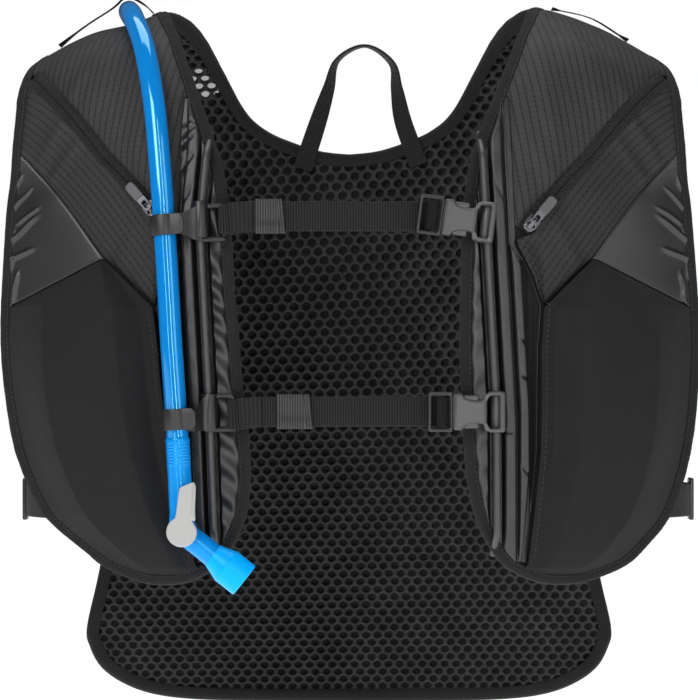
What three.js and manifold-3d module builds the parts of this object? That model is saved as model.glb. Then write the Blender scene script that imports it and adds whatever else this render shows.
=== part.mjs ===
// Running hydration vest: two front panels, a spacer-mesh back, a drinking tube and two chest straps.
// Millimetres, +Z up, chest towards -Y. The origin lies midway between the two shoulder ridges.
import * as THREE from "three";
import { mergeVertices } from "three/addons/utils/BufferGeometryUtils.js";
import Module from "manifold-3d";

const wasm = await Module();
wasm.setup();

// Overall form
const halfWidth = 178;
const frontLength = 292;
const backLength = 363;
const chestDepth = 84;
const backDepth = 88;
const frontWrap = 48;
const backWrap = 25;
const shoulderFlat = 92;
const shoulderEdge = 161;
const shoulderDrop = 29;
const shoulderReach = 120;
const sway = 16;
const seamSetback = 8;
const spineSteps = 320;

// Cloth
const gap = 0.35;
const coverGap = 0.7;
const edgeGap = 1;
const baseThick = 3;
const bindingWidth = 6;
const bindingThick = 5.4;
const bindingProud = 1.6;
const coverThick = 1.1;
const backThick = 5;
const pocketWall = 1.5;
const pocketDepth = 18;
const pocketMouth = 5.5;
const upperCrown = 3.6;
const sleeveWall = 1.6;
const sleeveDepth = 34;
const sleeveMouth = 22;
const sleeveHalfWidth = 112;
const pleatHeight = 3.6;
const pleatCount = 3;

// Zip
const zipTapeWidth = 9.5;
const zipCoilWidth = 3;
const zipCoilHeight = 1.2;
const sliderParked = { right: 5, left: 14.5 };
const sliderLength = 9;
const sliderWidth = 7;
const sliderThick = 2.2;
const pullLength = 17;
const pullWidth = 4.4;
const pullThick = 1.4;
const pinRadius = 0.6;

// Rails, straps and buckles
const railRadius = 2.2;
const railWeb = 1;
const railLift = 10.4;
const slideClearance = 0.5;
const slideWall = 1.7;
const boreFlare = 1.1;
const webbingWidth = 15;
const webbingThick = 1.3;
const upperStrapHeight = -108.1;
const lowerStrapHeight = -204.3;
const ringWidth = 15;
const ringBar = 1.9;
const ringHeight = webbingWidth + 3.4 * gap + 2 * ringBar;
const ringThick = 2.4;
const keepers = { upper: { after: 2, length: 15 }, lower: { after: 8, length: 18 } };
const keeperWall = 1.2;
const buckleHeight = 20.5;
const buckleThick = 7.6;
const buckleWaist = 10.5;
const buckleWall = 1.6;
const femaleLength = 17;
const maleLength = 12.5;
const endBarReach = 4.6;
const buckleFront = -2.2;
const bandWidth = 20;
const bandThick = 1;
const sideWebbingWidth = 17;
const sideBuckleLength = 13;
const sideReach = { right: 176, left: 166.5 };

// Carrying loop
const loopWebbingWidth = 10;
const loopSpan = 62.7;
const loopRise = 64;
const loopOffset = 6.3;

// Drinking tube and bite valve
const tubeRadius = 5.5;
const clipWall = 1.6;
const clipClearance = 0.5;
const clipHeight = 10.5;
const valveRadius = 6.2;
const hubRadius = 7.4;
const hubDepth = 15;
const leverThick = 2.2;
const leverReach = 25.5;
const leverWidth = 7.5;
const leverLean = 0.14;
const outletRadius = 6.3;
const outletReach = 19;
const outletFall = 0.672;
const biteRadius = 9.1;
const biteReach = 39.5;
const biteBore = 3.2;

// Share of the chest's depth and the front's length, from the shoulder ridge down the chest
const chestProfile = [
  { out: 0, fall: 0 },
  { out: 0.3, fall: 0.02 },
  { out: 0.6, fall: 0.082 },
  { out: 0.81, fall: 0.178 },
  { out: 0.93, fall: 0.308 },
  { out: 0.976, fall: 0.445 },
  { out: 1, fall: 0.6 },
  { out: 0.976, fall: 0.788 },
  { out: 0.905, fall: 1 },
  { out: 0.88, fall: 1.05 },
];

// Share of the back's depth and length, from the shoulder ridge down the spine
const backProfile = [
  { out: 0.28, fall: 0.014 },
  { out: 0.57, fall: 0.055 },
  { out: 0.8, fall: 0.127 },
  { out: 0.91, fall: 0.22 },
  { out: 0.966, fall: 0.33 },
  { out: 1, fall: 0.496 },
  { out: 0.977, fall: 0.689 },
  { out: 0.91, fall: 0.854 },
  { out: 0.8, fall: 1 },
  { out: 0.77, fall: 1.04 },
];

// Right front panel: its inner and outer edge as shares of the half width, against its fall
const frontPanel = [
  { fall: 0.021, inner: 0.506, outer: 0.93 },
  { fall: 0.063, inner: 0.475, outer: 0.947 },
  { fall: 0.096, inner: 0.453, outer: 0.952 },
  { fall: 0.161, inner: 0.408, outer: 0.961 },
  { fall: 0.24, inner: 0.355, outer: 0.966 },
  { fall: 0.301, inner: 0.331, outer: 0.974 },
  { fall: 0.414, inner: 0.316, outer: 0.986 },
  { fall: 0.568, inner: 0.31, outer: 1 },
  { fall: 0.671, inner: 0.313, outer: 0.993 },
  { fall: 0.747, inner: 0.32, outer: 0.98 },
  { fall: 0.822, inner: 0.331, outer: 0.953 },
  { fall: 0.89, inner: 0.357, outer: 0.908 },
  { fall: 0.938, inner: 0.396, outer: 0.843 },
  { fall: 0.969, inner: 0.438, outer: 0.787 },
  { fall: 0.99, inner: 0.5, outer: 0.708 },
  { fall: 1, inner: 0.562, outer: 0.64 },
];
const shoulderInner = 0.534;
const shoulderOuter = 0.899;

// How far the left panel hangs towards the middle, as shares of the sway
const leftSway = [
  { fall: 0, inner: 0, outer: 0 },
  { fall: 0.24, inner: -0.24, outer: 0 },
  { fall: 0.34, inner: -0.16, outer: 0 },
  { fall: 0.5, inner: -0.09, outer: 0.05 },
  { fall: 0.65, inner: 0.14, outer: 0.14 },
  { fall: 0.77, inner: 0.52, outer: 0.26 },
  { fall: 0.88, inner: 0.72, outer: 0.53 },
  { fall: 0.95, inner: 0.72, outer: 1 },
  { fall: 1.05, inner: 0.85, outer: 1 },
];

// Seams of the right front panel, as shares of the half width and the front's length
const zipLine = [
  { across: 0.905, fall: 0.04 },
  { across: 0.679, fall: 0.252 },
  { across: 0.487, fall: 0.394 },
];
const slantSeam = [
  { across: 0.99, fall: 0.138 },
  { across: 0.682, fall: 0.435 },
  { across: 0.543, fall: 0.521 },
];
const patchSeam = [
  { across: 0.682, fall: 0.435 },
  { across: 1.1, fall: 0.549 },
];
const hemLine = [
  { across: 0.451, fall: 0.164 },
  { across: 0.467, fall: 0.416 },
  { across: 0.51, fall: 0.468 },
  { across: 0.538, fall: 0.521 },
  { across: 0.529, fall: 0.596 },
  { across: 0.526, fall: 0.767 },
  { across: 0.498, fall: 0.961 },
];

// Back panel: the neckline and the outer edge, as shares of the half width and the back's length
const neckLine = [
  { across: 0.461, fall: 0.017 },
  { across: 0.379, fall: 0.074 },
  { across: 0.315, fall: 0.128 },
  { across: 0.246, fall: 0.157 },
  { across: 0.152, fall: 0.176 },
  { across: 0.079, fall: 0.186 },
  { across: 0, fall: 0.19 },
];
const backEdge = [
  { across: 0.888, fall: 0.055 },
  { across: 0.787, fall: 0.165 },
  { across: 0.708, fall: 0.275 },
  { across: 0.669, fall: 0.413 },
  { across: 0.674, fall: 0.551 },
  { across: 0.713, fall: 0.689 },
  { across: 0.753, fall: 0.807 },
  { across: 0.787, fall: 0.887 },
  { across: 0.778, fall: 0.917 },
  { across: 0.742, fall: 0.948 },
  { across: 0.674, fall: 0.972 },
  { across: 0.584, fall: 0.988 },
  { across: 0.461, fall: 0.996 },
  { across: 0.275, fall: 0.999 },
  { across: 0, fall: 1 },
];
const sleeveTop = 0.262;
const sleeveFoot = 0.975;

// Corded rails that the straps slide on, against the fall
const rails = [
  { fall: 0.264, right: 0.368, left: 0.393 },
  { fall: 0.384, right: 0.377, left: 0.41 },
  { fall: 0.705, right: 0.405, left: 0.382 },
  { fall: 0.918, right: 0.408, left: 0.371 },
];

// Route of the tube's middle line, from the bite valve over the shoulder into the sleeve:
// share of the half width, way along the form from the ridge (front positive) and height over it
const tubeRoute = [
  { across: -0.4528, along: 277, lift: 19.2 },
  { across: -0.4573, along: 264, lift: 18.4 },
  { across: -0.4624, along: 250, lift: 17.6 },
  { across: -0.4697, along: 231, lift: 17 },
  { across: -0.4775, along: 212, lift: 16.6 },
  { across: -0.4865, along: 186, lift: 16.2 },
  { across: -0.4978, along: 154, lift: 16 },
  { across: -0.5112, along: 124, lift: 15.8 },
  { across: -0.5337, along: 92, lift: 15.2 },
  { across: -0.5674, along: 61, lift: 13.8 },
  { across: -0.5983, along: 34, lift: 12.6 },
  { across: -0.6191, along: 10, lift: 11.4 },
  { across: -0.6236, along: -6, lift: 11.4 },
  { across: -0.6124, along: -26, lift: 12.6 },
  { across: -0.5730, along: -52, lift: 14.2 },
  { across: -0.5056, along: -82, lift: 15.6 },
  { across: -0.4213, along: -112, lift: 16 },
  { across: -0.3427, along: -142, lift: 16 },
  { across: -0.2921, along: -168, lift: 16 },
];
const ridgeCrossing = -0.6236;
const grooveDepth = 4.5;
const grooveWidth = 12;
const grooveLength = 50;

// Carrying loop's middle line: share of its span, share of its rise, and its turn in quarter turns
const loopLine = [
  { across: 0, rise: -0.03, turn: 0 },
  { across: 0.13, rise: 0.35, turn: 0.25 },
  { across: 0.225, rise: 0.64, turn: 0.6 },
  { across: 0.3, rise: 0.88, turn: 0.9 },
  { across: 0.54, rise: 1, turn: 1 },
  { across: 0.77, rise: 0.85, turn: 0.85 },
  { across: 0.81, rise: 0.64, turn: 0.6 },
  { across: 0.86, rise: 0.38, turn: 0.25 },
  { across: 1, rise: 0, turn: 0 },
];

const finishes = {
  mesh: { color: 0x1c1c1d, roughness: 0.95, metalness: 0 },
  ripstop: { color: 0x252526, roughness: 0.75, metalness: 0 },
  twill: { color: 0x1f1f20, roughness: 0.9, metalness: 0 },
  nylon: { color: 0x343436, roughness: 0.45, metalness: 0 },
  binding: { color: 0x232324, roughness: 0.85, metalness: 0 },
  webbing: { color: 0x2c2c2e, roughness: 0.8, metalness: 0 },
  plastic: { color: 0x1d1d1f, roughness: 0.4, metalness: 0 },
  coil: { color: 0x161617, roughness: 0.6, metalness: 0 },
  zinc: { color: 0xc9c9cc, roughness: 0.25, metalness: 1 },
  tube: { color: 0x0a84e8, roughness: 0.2, metalness: 0 },
  silicone: { color: 0x0e96f2, roughness: 0.35, metalness: 0 },
  grey: { color: 0xc4c4c4, roughness: 0.5, metalness: 0 },
};

const vest = new THREE.Group();

function clamp(value, low = 0, high = 1) {
  return Math.min(high, Math.max(low, value));
}

function ease(low, high, value) {
  const t = clamp((value - low) / (high - low));
  return t * t * (3 - 2 * t);
}

function mix(a, b, t) {
  return a + (b - a) * t;
}

// Reads a column of a table between its rows.
function readTable(table, key, column, value) {
  let i = 0;
  while (i < table.length - 2 && value > table[i + 1][key]) i += 1;
  const [a, b] = [table[i], table[i + 1]];
  return mix(a[column], b[column], clamp((value - a[key]) / (b[key] - a[key])));
}

// The middle line of the whole form, from the back hem over the ridge to the front hem
const spine = (() => {
  const back = backProfile
    .map((row) => new THREE.Vector2(backDepth * row.out, -backLength * row.fall))
    .reverse();
  const chest = chestProfile.map(
    (row) => new THREE.Vector2(-chestDepth * row.out, -frontLength * row.fall),
  );
  const points = new THREE.SplineCurve([...back, ...chest]).getPoints(spineSteps);
  const along = [0];
  for (let i = 1; i < points.length; i += 1) {
    along.push(along[i - 1] + points[i].distanceTo(points[i - 1]));
  }
  const ridge = points.reduce((best, p, i) => (p.length() < points[best].length() ? i : best), 0);
  return points.map((p, i) => ({ s: along[i] - along[ridge], y: p.x, z: p.y }));
})();
const chestLine = spine.filter((row) => row.s >= 0).map((row) => ({ ...row, fall: -row.z / frontLength }));
const spineLine = spine
  .filter((row) => row.s <= 0)
  .reverse()
  .map((row) => ({ ...row, fall: -row.z / backLength }));

function chestWay(fall) {
  return readTable(chestLine, "fall", "s", fall);
}

function backWay(fall) {
  return readTable(spineLine, "fall", "s", fall);
}

// A point of the wearer's side of the form: x across, s along it from the ridge.
function formPoint(x, s) {
  const reach = Math.abs(x);
  const beyond = Math.max(0, (reach - shoulderFlat) / (shoulderEdge - shoulderFlat));
  const drop = shoulderDrop * beyond ** 1.5 * Math.exp(-((s / shoulderReach) ** 2));
  const aside = (x - halfWidth * ridgeCrossing) / grooveWidth;
  const groove = grooveDepth * Math.exp(-0.5 * aside ** 2 - (s / grooveLength) ** 2);
  const wrap = (s > 0 ? frontWrap : -backWrap) * (reach / halfWidth) ** 2.6 * ease(20, 130, Math.abs(s));
  return new THREE.Vector3(
    x,
    readTable(spine, "s", "y", s) + wrap,
    readTable(spine, "s", "z", s) - drop - groove,
  );
}

// The same point raised outwards by h.
function lifted(x, s, h) {
  const step = 1.5;
  const alongForm = formPoint(x, s + step).sub(formPoint(x, s - step));
  const acrossForm = formPoint(x + step, s).sub(formPoint(x - step, s));
  return formPoint(x, s).addScaledVector(alongForm.cross(acrossForm).normalize(), h);
}

// Outlines are polygons of [x, s].
function polygonInset(polygon, distance) {
  const count = polygon.length;
  const area = polygon.reduce((sum, [x, s], i) => {
    const [nextX, nextS] = polygon[(i + 1) % count];
    return sum + x * nextS - nextX * s;
  }, 0);
  const turn = Math.sign(area);
  return polygon.map(([x, s], i) => {
    const before = polygon[(i + count - 1) % count];
    const after = polygon[(i + 1) % count];
    const first = new THREE.Vector2(x - before[0], s - before[1]).normalize();
    const second = new THREE.Vector2(after[0] - x, after[1] - s).normalize();
    const inward = new THREE.Vector2(-first.y - second.y, first.x + second.x).normalize();
    const sharpness = Math.max(0.5, inward.dot(new THREE.Vector2(-first.y, first.x)));
    return [x + (turn * inward.x * distance) / sharpness, s + (turn * inward.y * distance) / sharpness];
  });
}

// The same for a panel whose first and last points lie on the shoulder seam, which stays in place.
function panelInset(outline, distance, towards) {
  const beyond = outline.map(([x, s], i) => [x, i % (outline.length - 1) ? s : s + towards * distance]);
  return polygonInset(beyond, distance);
}

function crossings(polygon, s) {
  const found = [];
  polygon.forEach(([x, at], i) => {
    const [nextX, nextAt] = polygon[(i + 1) % polygon.length];
    if (at <= s !== nextAt <= s) found.push(mix(x, nextX, (s - at) / (nextAt - at)));
  });
  return found.sort((a, b) => a - b);
}

// The stretch across that all the polygons share at s, or null.
function spanAt(polygons, s) {
  let [low, high] = [-Infinity, Infinity];
  for (const polygon of polygons) {
    const found = crossings(polygon, s);
    if (found.length < 2) return null;
    low = Math.max(low, found[0]);
    high = Math.min(high, found.at(-1));
  }
  return high - low > 1 ? [low, high] : null;
}

function smoothLine(points, count) {
  return new THREE.SplineCurve(points.map(([x, y]) => new THREE.Vector2(x, y)))
    .getPoints(count)
    .map((p) => [p.x, p.y]);
}

// A seam given by shares, as [x, s] points close enough to stay straight in the front view.
function seam(rows) {
  const steps = 5;
  const points = [];
  rows.slice(1).forEach((row, i) => {
    for (let k = i === 0 ? 0 : 1; k <= steps; k += 1) {
      const across = mix(rows[i].across, row.across, k / steps);
      points.push([halfWidth * across, chestWay(mix(rows[i].fall, row.fall, k / steps))]);
    }
  });
  return points;
}

// A line moved sideways, to its left for a positive distance.
function besideLine(points, distance) {
  return points.map(([x, s], i) => {
    const [fromX, fromS] = points[Math.max(0, i - 1)];
    const [toX, toS] = points[Math.min(points.length - 1, i + 1)];
    const length = Math.hypot(toX - fromX, toS - fromS);
    return [x - ((toS - fromS) / length) * distance, s + ((toX - fromX) / length) * distance];
  });
}

// A closed solid from points and faces, turned so that its faces point outwards.
function closedGeometry(points, faces) {
  let volume = 0;
  for (let i = 0; i < faces.length; i += 3) {
    const [a, b, c] = [points[faces[i]], points[faces[i + 1]], points[faces[i + 2]]];
    volume += a.dot(b.clone().cross(c));
  }
  if (volume < 0) faces.reverse();
  return new THREE.BufferGeometry().setFromPoints(points).setIndex(faces);
}

// A solid between two grids of points of the same size.
function slab(top, bottom) {
  const rows = top.length;
  const columns = top[0].length;
  const faces = [];
  const over = (i, j) => i * columns + j;
  const under = (i, j) => rows * columns + i * columns + j;
  const quad = (a, b, c, d) => faces.push(a, b, c, a, c, d);
  for (let i = 0; i < rows - 1; i += 1) {
    for (let j = 0; j < columns - 1; j += 1) {
      quad(over(i, j), over(i + 1, j), over(i + 1, j + 1), over(i, j + 1));
      quad(under(i, j), under(i, j + 1), under(i + 1, j + 1), under(i + 1, j));
    }
    quad(over(i + 1, 0), over(i, 0), under(i, 0), under(i + 1, 0));
    quad(over(i, columns - 1), over(i + 1, columns - 1), under(i + 1, columns - 1), under(i, columns - 1));
  }
  for (let j = 0; j < columns - 1; j += 1) {
    quad(over(0, j), over(0, j + 1), under(0, j + 1), under(0, j));
    quad(over(rows - 1, j + 1), over(rows - 1, j), under(rows - 1, j), under(rows - 1, j + 1));
  }
  return closedGeometry([...top.flat(), ...bottom.flat()], faces);
}

// Two slabs that share a wall become one: the wall's faces cancel.
function joinedAtWall(first, second) {
  const points = [];
  const faces = [];
  for (const geometry of [first, second]) {
    const offset = points.length;
    const at = geometry.attributes.position;
    for (let i = 0; i < at.count; i += 1) points.push(new THREE.Vector3().fromBufferAttribute(at, i));
    faces.push(...[...geometry.index.array].map((k) => k + offset));
  }
  const merged = mergeVertices(new THREE.BufferGeometry().setFromPoints(points).setIndex(faces), 1e-3);
  const index = [...merged.index.array];
  const seen = new Map();
  for (let i = 0; i < index.length; i += 3) {
    const key = index.slice(i, i + 3).sort((a, b) => a - b).join();
    seen.set(key, [...(seen.get(key) || []), i]);
  }
  const kept = [...seen.values()].filter((found) => found.length === 1).flat();
  return merged.setIndex(kept.flatMap((i) => index.slice(i, i + 3)));
}

function solidOf(geometry) {
  const bare = geometry.clone();
  bare.deleteAttribute("normal");
  bare.deleteAttribute("uv");
  const merged = mergeVertices(bare, 1e-4);
  const triVerts = new Uint32Array(merged.index.array);
  return new wasm.Manifold(
    new wasm.Mesh({ numProp: 3, vertProperties: merged.attributes.position.array, triVerts }),
  );
}

function geometryOf(solid) {
  const mesh = solid.getMesh();
  const geometry = new THREE.BufferGeometry();
  geometry.setAttribute("position", new THREE.BufferAttribute(mesh.vertProperties, 3));
  geometry.setIndex(new THREE.BufferAttribute(mesh.triVerts, 1));
  return geometry;
}

function joined(...geometries) {
  return geometryOf(geometries.map(solidOf).reduce((a, b) => a.add(b)));
}

function cut(geometry, ...tools) {
  return geometryOf(tools.map(solidOf).reduce((a, b) => a.subtract(b), solidOf(geometry)));
}

function addPiece(parent, name, geometry, finish) {
  geometry.computeVertexNormals();
  const mesh = new THREE.Mesh(geometry, new THREE.MeshStandardMaterial(finishes[finish]));
  mesh.name = name;
  parent.add(mesh);
  return mesh;
}

// A shape drawn in X and Z with its thickness along Y, centred on y = 0.
function plateXZ(shape, thick, segments = 2) {
  const options = { depth: thick, bevelEnabled: false, curveSegments: segments };
  return new THREE.ExtrudeGeometry(shape, options).rotateX(Math.PI / 2).translate(0, thick / 2, 0);
}

// A shape drawn in X and Y with its height along Z, centred on z = 0.
function plateXY(shape, height, segments = 10) {
  const options = { depth: height, bevelEnabled: false, curveSegments: segments };
  return new THREE.ExtrudeGeometry(shape, options).translate(0, 0, -height / 2);
}

function box(width, depth, height, x = 0, y = 0, z = 0) {
  return new THREE.BoxGeometry(width, depth, height).translate(x, y, z);
}

function roundedRectangle(x0, x1, z0, z1, radius) {
  const shape = new THREE.Shape();
  shape.moveTo(x0 + radius, z0);
  shape.lineTo(x1 - radius, z0);
  shape.quadraticCurveTo(x1, z0, x1, z0 + radius);
  shape.lineTo(x1, z1 - radius);
  shape.quadraticCurveTo(x1, z1, x1 - radius, z1);
  shape.lineTo(x0 + radius, z1);
  shape.quadraticCurveTo(x0, z1, x0, z1 - radius);
  shape.lineTo(x0, z0 + radius);
  shape.quadraticCurveTo(x0, z0, x0 + radius, z0);
  return shape;
}

// A strip of webbing: its inner face follows points, its width lies along the across vectors.
function ribbon(points, across, width, thick) {
  const top = [];
  const bottom = [];
  points.forEach((point, i) => {
    const before = points[Math.max(0, i - 1)];
    const after = points[Math.min(points.length - 1, i + 1)];
    const side = across[i].clone().setLength(width / 2);
    const normal = after.clone().sub(before).cross(side).setLength(thick / 2);
    top.push([point.clone().sub(side).add(normal), point.clone().add(side).add(normal)]);
    bottom.push([point.clone().sub(side).sub(normal), point.clone().add(side).sub(normal)]);
  });
  return slab(top, bottom);
}

// Right front panel's outline in [x, s], from its inner shoulder corner round to its outer one
const frontOutline = (() => {
  const inner = frontPanel.map((row) => [halfWidth * row.inner, chestWay(row.fall)]);
  const outer = frontPanel.map((row) => [halfWidth * row.outer, chestWay(row.fall)]);
  const start = [halfWidth * shoulderInner, gap / 2 - seamSetback];
  const end = [halfWidth * shoulderOuter, gap / 2 - seamSetback];
  return smoothLine([start, ...inner, ...outer.reverse(), end], 38);
})();
const frontInside = panelInset(frontOutline, bindingWidth + 0.7 * edgeGap, -1);
const farInside = -60;
const aboveSeam = -30;
const farOutside = halfWidth * 1.3;

// The right panel's x moved to where it hangs on the given side: 1 is right, -1 is left.
function handed(side, x, s) {
  if (side > 0) return x;
  const fall = s > 0 ? readTable(chestLine, "s", "fall", s) : 0;
  const [low, high] = spanAt([frontOutline], clamp(s, gap - seamSetback, chestWay(0.98)));
  const share = clamp((x - low) / (high - low));
  const inner = readTable(leftSway, "fall", "inner", fall);
  const outer = readTable(leftSway, "fall", "outer", fall);
  return sway * mix(inner, outer, share) - x;
}

function onFront(side, x, s, h) {
  return lifted(handed(side, x, s), s, h);
}

// A sheet on the front panel inside all the polygons; under and over give its two heights.
// Rows lie closer together over the shoulder, where the form bends most.
function frontSheet(side, polygons, rows, columns, under, over) {
  const way = [];
  for (let s = -seamSetback - 5; s < chestWay(1.02); s += 0.25) {
    if (spanAt(polygons, s)) way.push(s);
  }
  const crowding = way[0] < 0 ? 1.3 : 1;
  const top = [];
  const bottom = [];
  for (let i = 0; i <= rows; i += 1) {
    const v = i / rows;
    const s = mix(way[0], way.at(-1), v ** crowding);
    const [low, high] = spanAt(polygons, s) || spanAt(polygons, v < 0.5 ? way[0] : way.at(-1));
    const across = Array.from({ length: columns + 1 }, (_, j) => j / columns);
    const place = (u, height) => {
      const x = mix(low, high, u);
      return onFront(side, x, s, height(u, v, x, s));
    };
    top.push(across.map((u) => place(u, over)));
    bottom.push(across.map((u) => place(u, under)));
  }
  return slab(top, bottom);
}

// A binding folded over an edge: points is the edge, inside is the same edge moved in.
function binding(points, inside, place) {
  const low = -(bindingThick - baseThick - bindingProud);
  const high = baseThick + bindingProud;
  const top = [];
  const bottom = [];
  points.forEach(([x, s], i) => {
    const [inX, inS] = inside[i];
    const at = (t, h) => place(mix(x, inX, t), mix(s, inS, t), h);
    top.push([at(0, baseThick), at(0.25, high), at(1, high)]);
    bottom.push([at(0, 0), at(0.25, low), at(1, low)]);
  });
  return slab(top, bottom);
}

const coverLow = baseThick + coverGap;
const coverHigh = coverLow + coverThick;

function arch(t, power) {
  return Math.max(0, Math.sin(Math.PI * clamp(t))) ** power;
}

function buildFrontPanel(side, tag) {
  const bindingInner = panelInset(frontOutline, bindingWidth, -1);
  const base = frontSheet(side, [frontInside], 16, 6, () => 0, () => baseThick);
  addPiece(vest, `front_base_${tag}`, base, "mesh");
  const place = (x, s, h) => onFront(side, x, s, h);
  addPiece(vest, `front_binding_${tag}`, binding(frontOutline, bindingInner, place), "binding");

  const zip = seam(zipLine);
  const hem = seam(hemLine);
  const hemOut = besideLine(hem, -gap);
  const hemIn = besideLine(hem, gap);
  const reach = zipTapeWidth / 2 + 1.4 * gap;
  const aboveZip = besideLine(zip, reach);
  const belowZip = besideLine(zip, -reach);
  const slant = seam(slantSeam);
  const patch = seam(patchSeam);
  const hemUpper = hemOut.filter(([, s]) => s < aboveZip.at(-1)[1]);
  const hemMiddle = hemOut.filter(([, s]) => s > belowZip.at(-1)[1] && s < slant.at(-1)[1]);
  const hemLower = hemOut.filter(([, s]) => s > slant.at(-1)[1]);

  const zipPocketShape = [
    [farInside, aboveSeam], ...hemUpper, ...aboveZip.reverse(), [farOutside, aboveSeam],
  ];
  const zipCrown = (u, v) => coverHigh + upperCrown * arch(u, 0.7) * arch((v - 0.14) / 0.86, 0.9);
  const zipPocket = frontSheet(side, [frontInside, zipPocketShape], 11, 6, () => coverLow, zipCrown);
  addPiece(vest, `zip_pocket_${tag}`, zipPocket, "ripstop");

  const slantAbove = besideLine(slant, gap / 2);
  const bandShape = [
    ...belowZip, ...hemMiddle, ...slantAbove.reverse(), [farOutside, slantAbove.at(-1)[1]],
  ];
  const bandCrown = (u, v) => coverHigh + (upperCrown / 3) * arch(u, 0.7) * arch(v, 0.9);
  const midBand = frontSheet(side, [frontInside, bandShape], 7, 4, () => coverLow, bandCrown);
  addPiece(vest, `mid_band_${tag}`, midBand, "ripstop");

  const slantBelow = besideLine(slant, -gap / 2);
  const patchAbove = besideLine(patch, -gap / 2);
  const corner = slantBelow.findIndex(([, s]) => s >= patchAbove[0][1]);
  const cornerShape = [...slantBelow.slice(0, corner), ...patchAbove];
  const patchCrown = (u, v) => coverHigh + (upperCrown / 2) * arch(u, 0.8) * arch(v, 0.9);
  const cornerPatch = frontSheet(side, [frontInside, cornerShape], 6, 4, () => coverLow, patchCrown);
  addPiece(vest, `corner_patch_${tag}`, cornerPatch, "nylon");

  const patchBelow = besideLine(patch, gap / 2);
  const slantLower = slantBelow.filter(([, s]) => s > patchBelow[0][1]);
  const foot = [[halfWidth * 0.4, chestWay(1.04)], [farOutside, chestWay(1.04)]];
  const cargoShape = [...patchBelow.reverse(), ...slantLower, ...hemLower, ...foot];
  const rise = (u, v) => {
    const mouth = pocketMouth * arch(v, 0.5) * (1 - ease(0, 0.5, u));
    const acrossBelly = Math.min(1, 1.344 * arch(1 - (1 - u) ** 1.25, 1));
    const belly = pocketDepth * acrossBelly * arch(v ** 0.85, 0.6);
    return Math.max(mouth, belly * ease(-0.25, 0.35, u));
  };
  const cargoOver = (u, v) => coverLow + pocketWall + rise(u, v);
  const cargoUnder = (u, v) => coverLow + rise(u, v);
  const cargo = frontSheet(side, [frontInside, cargoShape], 11, 9, cargoUnder, cargoOver);
  addPiece(vest, `cargo_pocket_${tag}`, cargo, "twill");

  const gussetShape = [[farInside, hemIn[0][1]], ...hemIn, [farInside, hemIn.at(-1)[1]]];
  const railColumn = side > 0 ? "right" : "left";
  const pleats = (u, v, x, s) => {
    const fall = readTable(chestLine, "s", "fall", s);
    const railX = halfWidth * readTable(rails, "fall", railColumn, fall);
    const hemAt = hemIn.reduce((best, [hx, hs]) => (hs <= s ? hx : best), hemIn[0][0]);
    const hemX = Math.abs(handed(side, hemAt, s));
    const clear = railX + railRadius + slideWall + slideClearance + gap;
    const t = (Math.abs(handed(side, x, s)) - clear) / Math.max(4, hemX - clear);
    if (t <= 0 || t >= 1) return coverHigh;
    return coverHigh + pleatHeight * Math.abs(Math.sin(Math.PI * pleatCount * t)) * arch(v, 0.4);
  };
  const gusset = frontSheet(side, [frontInside, gussetShape], 10, 12, () => coverLow, pleats);
  addPiece(vest, `gusset_${tag}`, gusset, "nylon");

  buildZip(side, tag, zip);
  buildRail(side, tag, railColumn);
}

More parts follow.
